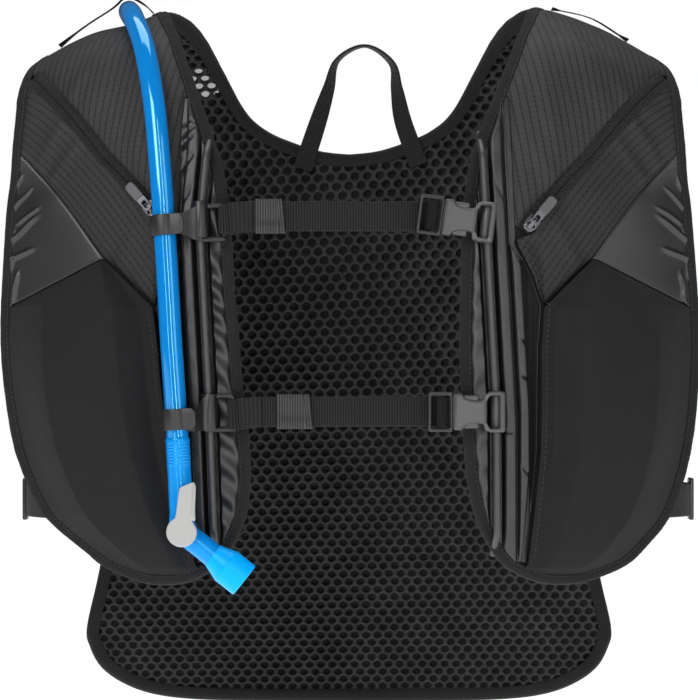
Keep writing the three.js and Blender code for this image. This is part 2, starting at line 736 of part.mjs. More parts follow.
// The zip's tape with its coil, and at its lower end the slider and the pull on its pin
function buildZip(side, tag, line) {
  const trimmed = line.filter(([x]) => x < halfWidth * 0.855);
  const offsets = [-zipTapeWidth / 2, -zipCoilWidth / 2, zipCoilWidth / 2, zipTapeWidth / 2];
  const heights = [0, zipCoilHeight, zipCoilHeight, 0];
  const lines = offsets.map((offset) => besideLine(trimmed, offset));
  const tapeTop = coverHigh - 0.4;
  const top = trimmed.map((_, i) => lines.map((at, j) => onFront(side, ...at[i], tapeTop + heights[j])));
  const bottom = trimmed.map((_, i) => lines.map((at) => onFront(side, ...at[i], coverLow)));
  addPiece(vest, `zip_tape_${tag}`, slab(top, bottom), "coil");

  const parked = side > 0 ? sliderParked.right : sliderParked.left;
  const [endX, endS] = line.at(-1);
  const [fromX, fromS] = line.at(-4);
  const share = parked / Math.hypot(fromX - endX, fromS - endS);
  const at = [mix(endX, fromX, share), mix(endS, fromS, share)];
  const seat = onFront(side, ...at, coverHigh + zipCoilHeight);
  const ahead = onFront(side, fromX, fromS, coverHigh + zipCoilHeight).sub(seat).normalize();
  const above = onFront(side, ...at, coverHigh + 5).sub(seat);
  const outward = above.addScaledVector(ahead, -above.dot(ahead)).normalize();
  const aside = ahead.clone().cross(outward);
  const group = new THREE.Group();
  group.position.copy(seat);
  group.quaternion.setFromRotationMatrix(new THREE.Matrix4().makeBasis(aside, ahead, outward));
  vest.add(group);
  const pullHole = pinRadius + 0.3;
  const eyeRadius = pullHole + 0.6;
  const pinHeight = sliderThick + gap + eyeRadius;
  const earTop = pinHeight + pinRadius + 0.4;
  const ear = box(1, 2.6, earTop - sliderThick + 0.4, 0, 0, (earTop + sliderThick) / 2 - 0.2);
  const pin = new THREE.CylinderGeometry(pinRadius, pinRadius, 5.4, 8).rotateZ(Math.PI / 2);
  pin.translate(0, 0, pinHeight);
  const body = box(sliderWidth, sliderLength, sliderThick, 0, 0, sliderThick / 2);
  const ears = [-2.2, 2.2].map((x) => ear.clone().translate(x, 0, 0));
  addPiece(group, `zip_slider_${tag}`, joined(body, ...ears, pin), "zinc");
  const tab = box(3, pullLength, pullThick, 0, pullLength / 2, pinHeight);
  const wide = box(pullWidth, pullLength * 0.62, pullThick + 0.4, 0, pullLength * 0.69, pinHeight);
  const eye = new THREE.CylinderGeometry(eyeRadius, eyeRadius, 2.6, 12).rotateZ(Math.PI / 2);
  const bore = new THREE.CylinderGeometry(pullHole, pullHole, 6, 12).rotateZ(Math.PI / 2);
  const pull = cut(joined(tab, wide, eye.translate(0, 0, pinHeight)), bore.translate(0, 0, pinHeight));
  addPiece(group, `zip_pull_${tag}`, pull, "plastic");
}

// Place of a rail's middle at a given height of the form
function railPoint(column, fall) {
  const side = column === "right" ? 1 : -1;
  return lifted(side * halfWidth * readTable(rails, "fall", column, fall), chestWay(fall), railLift);
}

// A cord sewn in a folded tape: a round bead on a thin web
function buildRail(side, tag, column) {
  const steps = 10;
  const sides = 6;
  const first = rails[0].fall;
  const last = rails.at(-1).fall;
  const web = railLift - coverHigh - gap;
  const ring = [];
  for (let k = 0; k <= sides; k += 1) {
    const angle = mix(Math.PI / 2 + 0.24, (5 * Math.PI) / 2 - 0.24, k / sides);
    ring.push([railRadius * Math.cos(angle), railRadius * Math.sin(angle)]);
  }
  ring.push([railWeb / 2, web], [-railWeb / 2, web]);
  const points = [];
  const faces = [];
  const count = ring.length;
  for (let i = 0; i <= steps; i += 1) {
    const fall = mix(first, last, i / steps);
    const middle = railPoint(column, fall);
    const x = side * halfWidth * readTable(rails, "fall", column, fall);
    const inward = lifted(x, chestWay(fall), railLift - 1).sub(middle).normalize();
    const across = new THREE.Vector3(1, 0, 0).addScaledVector(inward, -inward.x).normalize();
    ring.forEach(([a, b]) => {
      points.push(middle.clone().addScaledVector(across, a).addScaledVector(inward, b));
    });
  }
  for (let i = 0; i < steps; i += 1) {
    for (let k = 0; k < count; k += 1) {
      const [a, b] = [i * count + k, i * count + ((k + 1) % count)];
      faces.push(a, b, b + count, a, b + count, a + count);
    }
  }
  const cap = THREE.ShapeUtils.triangulateShape(ring.map(([a, b]) => new THREE.Vector2(a, b)), []);
  const lastRing = steps * count;
  cap.forEach(([a, b, c]) => faces.push(a, c, b, lastRing + a, lastRing + b, lastRing + c));
  addPiece(vest, `rail_${tag}`, closedGeometry(points, faces), "binding");
}

// Back panel's outline in [x, s], the right half from the seam's inner corner to its outer one
const neckHalf = (() => {
  const rows = neckLine.map((row) => [halfWidth * row.across, backWay(row.fall)]);
  const start = [halfWidth * shoulderInner, -seamSetback - gap / 2];
  return smoothLine([start, ...rows], 12);
})();
const edgeHalf = (() => {
  const rows = backEdge.map((row) => [halfWidth * row.across, backWay(row.fall)]);
  const start = [halfWidth * shoulderOuter, -seamSetback - gap / 2];
  return smoothLine([start, ...rows], 26);
})();
const mirrored = (points) => points.map(([x, s]) => [-x, s]).reverse();
const neckWhole = [...neckHalf, ...mirrored(neckHalf).slice(1)];
const edgeWhole = [...mirrored(edgeHalf).reverse(), ...edgeHalf.slice(0, -1).reverse()];
const backOutline = [...neckWhole, ...edgeWhole];

function buildBack() {
  const corners = [0, neckWhole.length - 1, neckWhole.length, backOutline.length - 1];
  const insetBack = (distance) => polygonInset(
    backOutline.map(([x, s], i) => [x, corners.includes(i) ? s + distance : s]),
    distance,
  );
  const inside = insetBack(bindingWidth + edgeGap);
  const bindingInner = insetBack(bindingWidth);
  const neckFoot = Math.min(...inside.slice(0, neckWhole.length).map(([, s]) => s)) - 0.05;
  const hemFoot = Math.min(...inside.map(([, s]) => s)) + 0.5;
  const topRow = -seamSetback - gap / 2 - 0.05;
  const half = (side) => {
    const top = [];
    const bottom = [];
    const columns = 6;
    const beside = inside.slice(1, neckHalf.length - 1).map(([, s]) => s);
    const below = inside.slice(neckWhole.length + edgeHalf.length).map(([, s]) => s).reverse();
    const stations = [topRow, ...beside, neckFoot];
    stations.push(...below.filter((s) => s < neckFoot - 6 && s > hemFoot + 0.3), hemFoot);
    stations.forEach((s) => {
      const found = crossings(inside, s).filter((x) => x > 0);
      const high = found.at(-1);
      const low = s > neckFoot ? found[0] : 0;
      const across = Array.from({ length: columns + 1 }, (_, j) => side * mix(low, high, j / columns));
      top.push(across.map((x) => lifted(x, s, backThick)));
      bottom.push(across.map((x) => lifted(x, s, 0)));
    });
    return slab(top, bottom);
  };
  addPiece(vest, "back_panel", joinedAtWall(half(1), half(-1)), "mesh");
  const count = neckWhole.length;
  const place = (x, s, h) => lifted(x, s, h > 1 ? h + backThick - baseThick : h);
  addPiece(vest, "neck_binding", binding(neckWhole, bindingInner.slice(0, count), place), "binding");
  addPiece(
    vest,
    "hem_binding",
    binding(backOutline.slice(count), bindingInner.slice(count), place),
    "binding",
  );

  const low = backThick + 2 * coverGap;
  const rows = 10;
  const columns = 10;
  const top = [];
  const bottom = [];
  for (let i = 0; i <= rows; i += 1) {
    const v = i / rows;
    const s = mix(backWay(sleeveTop), backWay(sleeveFoot), v);
    const widest = Math.min(sleeveHalfWidth, crossings(inside, s).at(-1) - 1);
    const reach = widest * (1 - 0.12 * ease(0.82, 1, v));
    const across = Array.from({ length: columns + 1 }, (_, j) => mix(-reach, reach, j / columns));
    const depth = mix(sleeveMouth, sleeveDepth, ease(0, 0.45, v)) * (1 - ease(0.55, 1, v)) ** 0.6;
    const rise = (x) => low + depth * (1 - (x / reach) ** 2) ** 0.62;
    top.push(across.map((x) => lifted(x, s, rise(x) + sleeveWall)));
    bottom.push(across.map((x) => lifted(x, s, rise(x))));
  }
  addPiece(vest, "rear_sleeve", slab(top, bottom), "twill");
}

// The loop that the vest is lifted by, sewn to the wearer's side of the neck binding
function buildLoop() {
  const base = neckLine.at(-1).fall * backLength;
  const underside = -(bindingThick - baseThick - bindingProud) - gap - webbingThick / 2;
  const sewn = (x, z) => lifted(x, backWay(-Math.min(z, -base * 0.85) / backLength), underside - 0.8).y;
  const loopSteps = 16;
  const curve = new THREE.CatmullRomCurve3(
    loopLine.map((row) => {
      const x = loopOffset + loopSpan * (row.across - 0.5);
      const z = -base - 5 + loopRise * row.rise;
      return new THREE.Vector3(x, sewn(x, z), z);
    }),
  );
  const points = curve.getPoints(loopSteps);
  const across = points.map((_, i) => {
    const share = (i / loopSteps) * (loopLine.length - 1);
    const row = Math.min(loopLine.length - 2, Math.floor(share));
    const turn = (mix(loopLine[row].turn, loopLine[row + 1].turn, share - row) * Math.PI) / 2;
    const before = points[Math.max(0, i - 1)];
    const after = points[Math.min(loopSteps, i + 1)];
    const tangent = after.clone().sub(before).normalize();
    const flat = new THREE.Vector3(0, 1, 0).cross(tangent).normalize();
    return flat.multiplyScalar(Math.cos(turn)).add(new THREE.Vector3(0, Math.sin(turn), 0));
  });
  addPiece(vest, "handle_loop", ribbon(points, across, loopWebbingWidth, webbingThick), "webbing");
}

// Elastic bands over the shoulders: they lie on the panel and arch over what runs under them
function buildShoulderBand(side, tag) {
  const inner = side > 0 ? 0.585 : 0.56;
  const outer = side > 0 ? 0.8 : 0.83;
  const crest = side > 0 ? (inner + outer) / 2 : -ridgeCrossing;
  const lay = coverHigh + 2.5 * gap;
  const nearBand = tubeRoute.filter((row) => Math.abs(row.along) < bandWidth / 2 + 2);
  const tubeLift = Math.max(...nearBand.map((row) => row.lift));
  const rise = side > 0 ? 2 : tubeLift + tubeRadius + gap - lay + 1.2;
  const steps = 12;
  const top = [];
  const bottom = [];
  for (let i = 0; i <= steps; i += 1) {
    const share = mix(inner, outer, i / steps);
    const t = share < crest ? (share - inner) / (crest - inner) : (outer - share) / (outer - crest);
    const steep = Math.sin(Math.min(1, t * 1.15) ** 0.8 * (Math.PI / 2));
    const h = lay + rise * (side > 0 ? ease(0, 1, t) : share < crest ? steep : Math.min(1, 1.08 * t));
    const x = side * halfWidth * share;
    top.push([lifted(x, -bandWidth / 2, h + bandThick), lifted(x, bandWidth / 2, h + bandThick)]);
    bottom.push([lifted(x, -bandWidth / 2, h), lifted(x, bandWidth / 2, h)]);
  }
  addPiece(vest, `shoulder_band_${tag}`, slab(top, bottom), "binding");
}

// The drinking tube along its route
const tubePoints = tubeRoute.map((row) => lifted(halfWidth * row.across, row.along, row.lift));
const tubeCurve = new THREE.CatmullRomCurve3(tubePoints, false, "centripetal");

function disc(radius, sides) {
  const shape = new THREE.Shape();
  for (let k = 0; k < sides; k += 1) {
    const angle = (2 * Math.PI * k) / sides;
    if (k === 0) shape.moveTo(radius, 0);
    else shape.lineTo(radius * Math.cos(angle), radius * Math.sin(angle));
  }
  return shape;
}

// The tube's middle and its upward direction at a height of the chest
function tubeAtHeight(z) {
  let low = 0;
  let high = 0.5;
  for (let i = 0; i < 30; i += 1) {
    const middle = (low + high) / 2;
    if (tubeCurve.getPoint(middle).z < z) low = middle;
    else high = middle;
  }
  return { point: tubeCurve.getPoint(low), up: tubeCurve.getTangent(low) };
}

function buildTube() {
  const tube = new THREE.ExtrudeGeometry(disc(tubeRadius, 8), { steps: 44, extrudePath: tubeCurve });
  addPiece(vest, "drinking_tube", tube, "tube");
  const end = tubePoints.at(-1);
  const ahead = end.clone().sub(tubeCurve.getPoint(0.985)).normalize();
  const profile = [
    [0, 0], [5, 0], [5, 6], [6.6, 6.6], [6.6, 12], [4, 12.6], [4, 22], [0, 22],
  ].map(([r, z]) => new THREE.Vector2(r, z));
  const plug = new THREE.LatheGeometry(profile, 12);
  const connector = addPiece(vest, "tube_connector", plug, "plastic");
  connector.quaternion.setFromUnitVectors(new THREE.Vector3(0, 1, 0), ahead);
  connector.position.copy(end).addScaledVector(ahead, gap);
}

// The valve at the tube's front end: sleeve, hub, lever and bite piece
const valveTop = tubePoints[0];
const valveDown = tubePoints[0].clone().sub(tubePoints[1]).normalize();
const hub = valveTop.clone().addScaledVector(valveDown, 26);
const leverSeat = -hubDepth / 2 - gap;

// A round bore along Z that flares towards both ends, so that it slides along a slightly slanted rail
function flaredBore(radius, height) {
  const half = height / 2;
  const profile = [
    [0, -half], [radius + boreFlare, -half], [radius, -2],
    [radius, 2], [radius + boreFlare, half], [0, half],
  ].map(([r, z]) => new THREE.Vector2(r, z));
  return new THREE.LatheGeometry(profile, 10).rotateX(Math.PI / 2);
}

// Turns a group about X so that its Z follows the rail's lean at that height.
function leanWithRail(group, column, fall) {
  const above = railPoint(column, fall - 0.03);
  const below = railPoint(column, fall + 0.03);
  group.position.copy(railPoint(column, fall));
  group.rotation.x = -Math.atan2(above.y - below.y, above.z - below.z);
}

function buildValve() {
  const group = new THREE.Group();
  group.position.copy(hub);
  vest.add(group);
  const up = valveDown.clone().negate();
  const sleeveLength = 25.5;
  const along = new THREE.Quaternion().setFromUnitVectors(new THREE.Vector3(0, 1, 0), up);
  const outlet = new THREE.Vector3(Math.cos(outletFall), 0, -Math.sin(outletFall));
  const outward = new THREE.Quaternion().setFromUnitVectors(new THREE.Vector3(0, 1, 0), outlet);
  const profile = [
    [0, 0], [valveRadius + 0.6, 0], [valveRadius, 9], [valveRadius + 0.4, sleeveLength - 0.7],
    [valveRadius - 0.2, sleeveLength], [0, sleeveLength],
  ].map(([r, z]) => new THREE.Vector2(r, z));
  const sleeve = new THREE.LatheGeometry(profile, 14).applyQuaternion(along);
  const barrel = new THREE.CylinderGeometry(hubRadius, hubRadius, hubDepth, 18);
  const spout = new THREE.CylinderGeometry(outletRadius, outletRadius, outletReach, 14);
  spout.translate(0, outletReach / 2, 0).applyQuaternion(outward);
  const axle = new THREE.CylinderGeometry(2, 2, 2.4, 10).translate(0, -hubDepth / 2 - 0.9, 0);
  addPiece(group, "valve_body", joined(sleeve, barrel, spout, axle), "tube");

  const lever = new THREE.Shape();
  const half = leverWidth / 2;
  lever.moveTo(-half, hubRadius * 0.8);
  lever.lineTo(-half, leverReach - 3);
  lever.quadraticCurveTo(-half, leverReach, 0, leverReach);
  lever.quadraticCurveTo(half, leverReach, half, leverReach - 2);
  lever.lineTo(half, hubRadius * 0.8);
  lever.absarc(0, 0, hubRadius + 0.2, 0.95, Math.PI - 0.95, true);
  const bore = new THREE.Path();
  bore.absarc(0, 0, 2.4, 0, Math.PI * 2);
  lever.holes.push(bore);
  const plate = plateXZ(lever, leverThick, 8);
  plate.rotateY(leverLean).translate(0, leverSeat - leverThick / 2, 0);
  addPiece(group, "valve_lever", plate, "grey");

  const biteStart = outletReach + gap;
  const bite = [
    [biteBore, biteStart], [outletRadius, biteStart], [biteRadius, outletReach + 9],
    [biteRadius, biteReach - 0.8], [biteRadius - 0.8, biteReach],
    [biteBore, biteReach], [biteBore, biteStart],
  ].map(([r, z]) => new THREE.Vector2(r, z));
  const mouth = new THREE.LatheGeometry(bite, 16).applyQuaternion(outward);
  addPiece(group, "bite_valve", mouth, "silicone");
}

// Buckle that clips the strap to the right rail. Its own origin lies on the rail's middle,
// the strap leaves towards -X, and the web of the rail comes from +Y.
function buildBuckle(parent, tag) {
  const bore = railRadius + slideClearance;
  const slit = railWeb + 6 * slideClearance;
  const female = new THREE.Shape();
  const waistHalf = buckleWaist / 2;
  const half = buckleHeight / 2;
  const left = -endBarReach - femaleLength;
  female.moveTo(endBarReach, -half + 1);
  female.lineTo(endBarReach, half - 1);
  female.lineTo(endBarReach - 1, half);
  female.lineTo(-endBarReach, half);
  female.lineTo(-endBarReach - 1.6, waistHalf + 0.6);
  female.lineTo(-endBarReach - 6, waistHalf);
  female.lineTo(-endBarReach - 8.6, half - 0.6);
  female.lineTo(left, half);
  female.lineTo(left, -half);
  female.lineTo(-endBarReach - 8.6, -half + 0.6);
  female.lineTo(-endBarReach - 6, -waistHalf);
  female.lineTo(-endBarReach - 1.6, -waistHalf - 0.6);
  female.lineTo(-endBarReach, -half);
  female.lineTo(endBarReach - 1, -half);
  const shell = plateXZ(female, buckleThick).translate(0, buckleFront, 0);
  const endBlock = box(2 * endBarReach, buckleThick, buckleHeight - 2, 0, 0, 0);
  const railBore = flaredBore(bore, buckleHeight + 2);
  const railSlit = box(slit, buckleThick, buckleHeight + 4, 0, buckleThick / 2, 0);
  const pocketLength = femaleLength - 3;
  const pocketHeight = buckleHeight - 4;
  const pocketDeep = buckleThick - 2 * buckleWall;
  const pocketMiddle = left + pocketLength / 2 - 0.5;
  const inner = box(pocketLength, pocketDeep, pocketHeight, pocketMiddle, buckleFront, 0);
  const sideWindows = box(3.4, pocketDeep, buckleHeight + 4, left + 8, buckleFront, 0);
  const socket = cut(joined(shell, endBlock), railBore, railSlit, inner, sideWindows);
  addPiece(parent, `buckle_female_${tag}`, socket, "plastic");

  const frameThick = 3.6;
  const maleRight = left - gap;
  const maleLeft = maleRight - maleLength;
  const frame = roundedRectangle(maleLeft, maleRight, -half + 0.4, half - 0.4, 1.6);
  const slotHalf = webbingWidth / 2 + 0.7;
  const bars = [
    [maleLeft + 2.2, maleLeft + 5.4],
    [maleLeft + 7.6, maleRight - 1.8],
  ];
  bars.forEach(([x0, x1]) => frame.holes.push(roundedRectangle(x0, x1, -slotHalf, slotHalf, 0.5)));
  const tongueThick = pocketDeep - 2 * gap;
  const tongue = box(femaleLength - 6, tongueThick, 4, maleRight + (femaleLength - 6) / 2 - 0.6, 0, 0);
  const armAt = buckleHeight / 2 - 2 - gap - 1.2;
  const armLength = femaleLength - 7;
  const armMiddle = maleRight + armLength / 2 - 0.6;
  const arms = [-armAt, armAt].map((z) => box(armLength, tongueThick, 2.2, armMiddle, 0, z));
  const male = joined(plateXZ(frame, frameThick), tongue, ...arms).translate(0, buckleFront, 0);
  addPiece(parent, `buckle_male_${tag}`, male, "plastic");
  return maleLeft + 6.5;
}

// A hard ring on the left rail that carries the strap, with an arm to the tube's clip
function buildHook(tag, fall) {
  const bore = railRadius + slideClearance;
  const outer = bore + slideWall;
  const slit = railWeb + 6 * slideClearance;
  const group = new THREE.Group();
  leanWithRail(group, "left", fall);
  vest.add(group);
  const railAt = group.position;
  const tubeAt = tubeAtHeight(railAt.z);
  const shape = disc(outer, 12);
  const sleeve = plateXY(shape, ringHeight);
  const loop = roundedRectangle(-ringBar, ringWidth - ringBar, -ringHeight / 2, ringHeight / 2, 3);
  const windowHalf = ringHeight / 2 - ringBar;
  loop.holes.push(roundedRectangle(outer - 0.6, ringWidth - 2 * ringBar, -windowHalf, windowHalf, 1));
  const ring = plateXZ(loop, ringThick);
  const ringBore = flaredBore(bore, ringHeight + 2);
  const ringSlit = box(slit, outer + 4, ringHeight + 4, 0, (outer + 4) / 2, 0);
  const clipX = tubeAt.point.x - railAt.x;
  const clipY = tubeAt.point.y - railAt.y;
  const front = clipY - tubeRadius - clipClearance - clipWall;
  const armFront = front + clipWall + 2 * gap;
  const armEnd = clipX + tubeRadius + clipClearance + clipWall + gap;
  const arm = new THREE.Shape();
  arm.moveTo(armEnd, armFront);
  arm.lineTo(-outer + 1, armFront);
  arm.lineTo(0.8, -outer + 0.3);
  arm.lineTo(-1.6, -bore - 0.5);
  arm.lineTo(-outer + 0.4, armFront + 2.2);
  arm.lineTo(armEnd, armFront + 2.2);
  const armPlate = plateXY(arm, clipHeight - 1);
  addPiece(group, `strap_hook_${tag}`, cut(joined(sleeve, ring, armPlate), ringBore, ringSlit), "plastic");

  const hold = tubeRadius + clipClearance;
  const wrap = hold + clipWall;
  const tabLength = armEnd + 2.4 - clipX;
  const round = plateXY(disc(wrap, 16), clipHeight);
  const tab = box(tabLength, clipWall, clipHeight, tabLength / 2, -wrap + clipWall / 2, 0);
  const clipBore = new THREE.CylinderGeometry(hold, hold, clipHeight + 4, 16).rotateX(Math.PI / 2);
  const clip = addPiece(vest, `tube_clip_${tag}`, cut(joined(round, tab), clipBore), "plastic");
  clip.position.copy(tubeAt.point);
  clip.quaternion.setFromUnitVectors(new THREE.Vector3(0, 0, 1), tubeAt.up);
  return railAt.x + ringWidth - 1.5 * ringBar;
}

// A strap from the ring's far bar to the buckle, folded back round the bar and held by a keeper
function buildStrap(tag, hookBarX, hookY, height, buckleX, buckleY) {
  const loopRadius = ringThick / 2 + webbingThick / 2 + 2.7 * gap;
  const points = [];
  const level = (x, y) => points.push(new THREE.Vector3(x, y, height));
  const foldEnd = hookBarX + 13;
  level(foldEnd, hookY + loopRadius);
  level(hookBarX + 4, hookY + loopRadius);
  for (let k = 0; k <= 6; k += 1) {
    const angle = Math.PI / 2 + (Math.PI * k) / 6;
    level(hookBarX + loopRadius * Math.cos(angle), hookY + loopRadius * Math.sin(angle));
  }
  level(hookBarX + 4, hookY - loopRadius);
  const { after, length } = keepers[tag];
  level(foldEnd + after, hookY - loopRadius);
  level(foldEnd + after + length, hookY - loopRadius + 1.2);
  level(buckleX - 12, buckleY + 2.6);
  level(buckleX - 7, buckleY + 3.2);
  level(buckleX + 2.6, buckleY + 3.2);
  const across = points.map(() => new THREE.Vector3(0, 0, 1));
  addPiece(vest, `strap_${tag}`, ribbon(points, across, webbingWidth, webbingThick), "webbing");

  const keeperMiddle = foldEnd + after + length / 2;
  const inner = webbingThick / 2 + gap;
  const hole = webbingWidth / 2 + gap;
  const profile = new THREE.Shape();
  const outerY = inner + keeperWall + 0.4;
  profile.moveTo(-outerY, -hole - keeperWall);
  profile.lineTo(outerY, -hole - keeperWall);
  profile.lineTo(outerY, hole + keeperWall);
  profile.lineTo(-outerY, hole + keeperWall);
  const opening = new THREE.Path();
  opening.moveTo(-inner - 0.5, -hole);
  opening.lineTo(inner + 0.5, -hole);
  opening.lineTo(inner + 0.5, hole);
  opening.lineTo(-inner - 0.5, hole);
  profile.holes.push(opening);
  const sewn = length - 1.4;
  const keeper = new THREE.ExtrudeGeometry(profile, { depth: sewn, bevelEnabled: false });
  keeper.rotateZ(Math.PI / 2).rotateY(Math.PI / 2).translate(-sewn / 2, 0, 0);
  const mesh = addPiece(vest, `keeper_${tag}`, keeper, "webbing");
  mesh.position.set(keeperMiddle, hookY - loopRadius + 0.6, height);
}

function buildChestStrap(tag, height, tilt) {
  const fall = -height / frontLength;
  const rightRail = railPoint("right", fall);
  const leftRail = railPoint("left", fall);
  const hookBarX = buildHook(tag, fall);
  const group = new THREE.Group();
  leanWithRail(group, "right", fall);
  group.rotation.y = tilt;
  vest.add(group);
  const strapBar = buildBuckle(group, tag);
  buildStrap(tag, hookBarX, leftRail.y, leftRail.z, rightRail.x + strapBar, rightRail.y + buckleFront);
}

// Short webbing at each side that joins the lower corner of a front panel to the back
function buildSideStrap(side, tag) {
  const fall = 0.862;
  const s = chestWay(fall);
  const [, outer] = spanAt([frontOutline], s);
  const underside = -(bindingThick - baseThick - bindingProud) - gap - webbingThick / 2;
  const frontEnd = onFront(side, outer - 4, s, underside - 2.2);
  const frontNear = onFront(side, outer - 12, s, underside - 2.2);
  const level = frontEnd.z;
  const backS = backWay(-level / backLength);
  const backOuter = crossings(backOutline, backS).at(-1);
  const backEnd = lifted(side * (backOuter - 4), backS, underside - 1.2);
  const backNear = lifted(side * (backOuter - 12), backS, underside - 1.2);
  const reach = side > 0 ? sideReach.right : sideReach.left;
  const mid = new THREE.Vector3(side * reach, 0, level);
  const curve = new THREE.CatmullRomCurve3([
    frontNear, frontEnd,
    new THREE.Vector3(side * (reach - 1.5), frontEnd.y * 0.45, level),
    mid,
    new THREE.Vector3(side * mix(reach, backOuter, 0.35), backEnd.y * 0.6, level),
    backEnd, backNear,
  ].map((p) => p.clone().setZ(level)), false, "centripetal");
  const points = curve.getPoints(14);
  const across = points.map(() => new THREE.Vector3(0, 0, 1));
  addPiece(vest, `side_strap_${tag}`, ribbon(points, across, sideWebbingWidth, webbingThick), "webbing");
  const half = sideWebbingWidth / 2;
  const shape = roundedRectangle(-sideBuckleLength / 2, sideBuckleLength / 2, -half - 2.4, half + 2.4, 1.5);
  const slotWidth = webbingThick + 2.4;
  const frame = plateXZ(shape, 5.4);
  const slot = box(sideBuckleLength + 2, slotWidth, sideWebbingWidth + 0.8);
  const mesh = addPiece(vest, `side_buckle_${tag}`, cut(frame, slot), "plastic");
  const at = curve.getPoint(0.5);
  const tangent = curve.getTangent(0.5);
  mesh.position.copy(at);
  mesh.rotation.z = Math.atan2(tangent.y, tangent.x);
}

buildBack();
buildLoop();
for (const [side, tag] of [[1, "r"], [-1, "l"]]) {
  buildFrontPanel(side, tag);
  buildShoulderBand(side, tag);
  buildSideStrap(side, tag);
}
buildTube();
buildValve();
buildChestStrap("upper", upperStrapHeight, 0.045);
buildChestStrap("lower", lowerStrapHeight, 0);

export default vest;
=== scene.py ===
"""Looks of a running hydration vest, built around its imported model."""

import math
from functools import partial

import bpy
import numpy as np
from mathutils import Matrix, Vector
from mathutils.bvhtree import BVHTree


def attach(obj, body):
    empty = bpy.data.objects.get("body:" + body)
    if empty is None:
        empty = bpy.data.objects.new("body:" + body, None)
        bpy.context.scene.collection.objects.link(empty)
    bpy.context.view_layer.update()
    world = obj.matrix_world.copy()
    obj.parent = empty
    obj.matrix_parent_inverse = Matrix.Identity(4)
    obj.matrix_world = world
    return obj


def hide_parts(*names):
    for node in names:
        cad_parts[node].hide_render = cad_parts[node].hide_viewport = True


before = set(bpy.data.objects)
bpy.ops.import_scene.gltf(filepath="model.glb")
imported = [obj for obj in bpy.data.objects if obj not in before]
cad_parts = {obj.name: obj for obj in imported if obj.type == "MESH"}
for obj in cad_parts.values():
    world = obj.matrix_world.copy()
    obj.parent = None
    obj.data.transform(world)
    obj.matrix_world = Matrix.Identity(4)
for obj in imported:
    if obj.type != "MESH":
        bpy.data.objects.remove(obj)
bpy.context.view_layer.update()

bl_info = {
    "name": "Running hydration vest",
    "version": (1, 0, 0),
    "blender": (4, 5, 0),
    "location": "3D View > Sidebar > Vest",
    "description": "Builds the cloth, straps, tube and stage of a running hydration vest",
    "category": "Add Mesh",
}

# Sizes are in millimetres and every mesh is written in metres.
MM = 0.001
SIDES = ((1, "r"), (-1, "l"))
HALF_WIDTH = 178
FRONT_LENGTH = 292
BACK_LENGTH = 363
CHEST_DEPTH = 84
BACK_DEPTH = 88
FRONT_WRAP = 48
BACK_WRAP = 25
SHOULDER_FLAT = 92
SHOULDER_EDGE = 161
SHOULDER_DROP = 29
SHOULDER_REACH = 120
SWAY = 16
SEAM_SETBACK = 8
GROOVE_SHARE = -0.6236
GROOVE_X = GROOVE_SHARE * HALF_WIDTH
GROOVE_DEPTH = 4.5
GROOVE_WIDTH = 12
GROOVE_LENGTH = 50
GAP = 0.35
BASE_THICK = 3
COVER_LOW = BASE_THICK + 0.7
COVER_HIGH = COVER_LOW + 1.1
BACK_THICK = 5
BINDING_WIDTH = 6
TAPE_HIGH = 4.6
TAPE_LOW = -0.8
ZIP_TAPE_WIDTH = 9.5
RAIL_LIFT = 10.4
RAIL_RADIUS = 1.9
STRAP_TURN_RADIUS = 2.8
TUBE_POINTS = 420
TUBE_ACROSS = (1.0, 0.15, 0.1)
VALVE_DROP = 26
OUTLET_FALL = 0.672
LEVER_LEAN = 0.14
LOOP_SPAN = 62.7
LOOP_RISE = 64
LOOP_OFFSET = 6.3

# Shares of depth and fall of the chest and of the back, from the shoulder ridge down
CHEST_PROFILE = [
    (0, 0), (0.3, 0.02), (0.6, 0.082), (0.81, 0.178), (0.93, 0.308),
    (0.976, 0.445), (1, 0.6), (0.976, 0.788), (0.905, 1), (0.88, 1.05),
]
BACK_PROFILE = [
    (0.28, 0.014), (0.57, 0.055), (0.8, 0.127), (0.91, 0.22), (0.966, 0.33),
    (1, 0.496), (0.977, 0.689), (0.91, 0.854), (0.8, 1), (0.77, 1.04),
]

# Fall, inner and outer edge of the right front panel
FRONT_PANEL = [
    (0.021, 0.506, 0.93), (0.063, 0.475, 0.947), (0.096, 0.453, 0.952), (0.161, 0.408, 0.961),
    (0.24, 0.355, 0.966), (0.301, 0.331, 0.974), (0.414, 0.316, 0.986), (0.568, 0.31, 1),
    (0.671, 0.313, 0.993), (0.747, 0.32, 0.98), (0.822, 0.331, 0.953), (0.89, 0.357, 0.908),
    (0.938, 0.396, 0.843), (0.969, 0.438, 0.787), (0.99, 0.5, 0.708), (1, 0.562, 0.64),
]
SHOULDER_INNER = 0.534
SHOULDER_OUTER = 0.899

# Fall, inner and outer share of the left panel's sway
LEFT_SWAY = [
    (0, 0, 0), (0.24, -0.24, 0), (0.34, -0.16, 0), (0.5, -0.09, 0.05), (0.65, 0.14, 0.14),
    (0.77, 0.52, 0.26), (0.88, 0.72, 0.53), (0.95, 0.72, 1), (1.05, 0.85, 1),
]

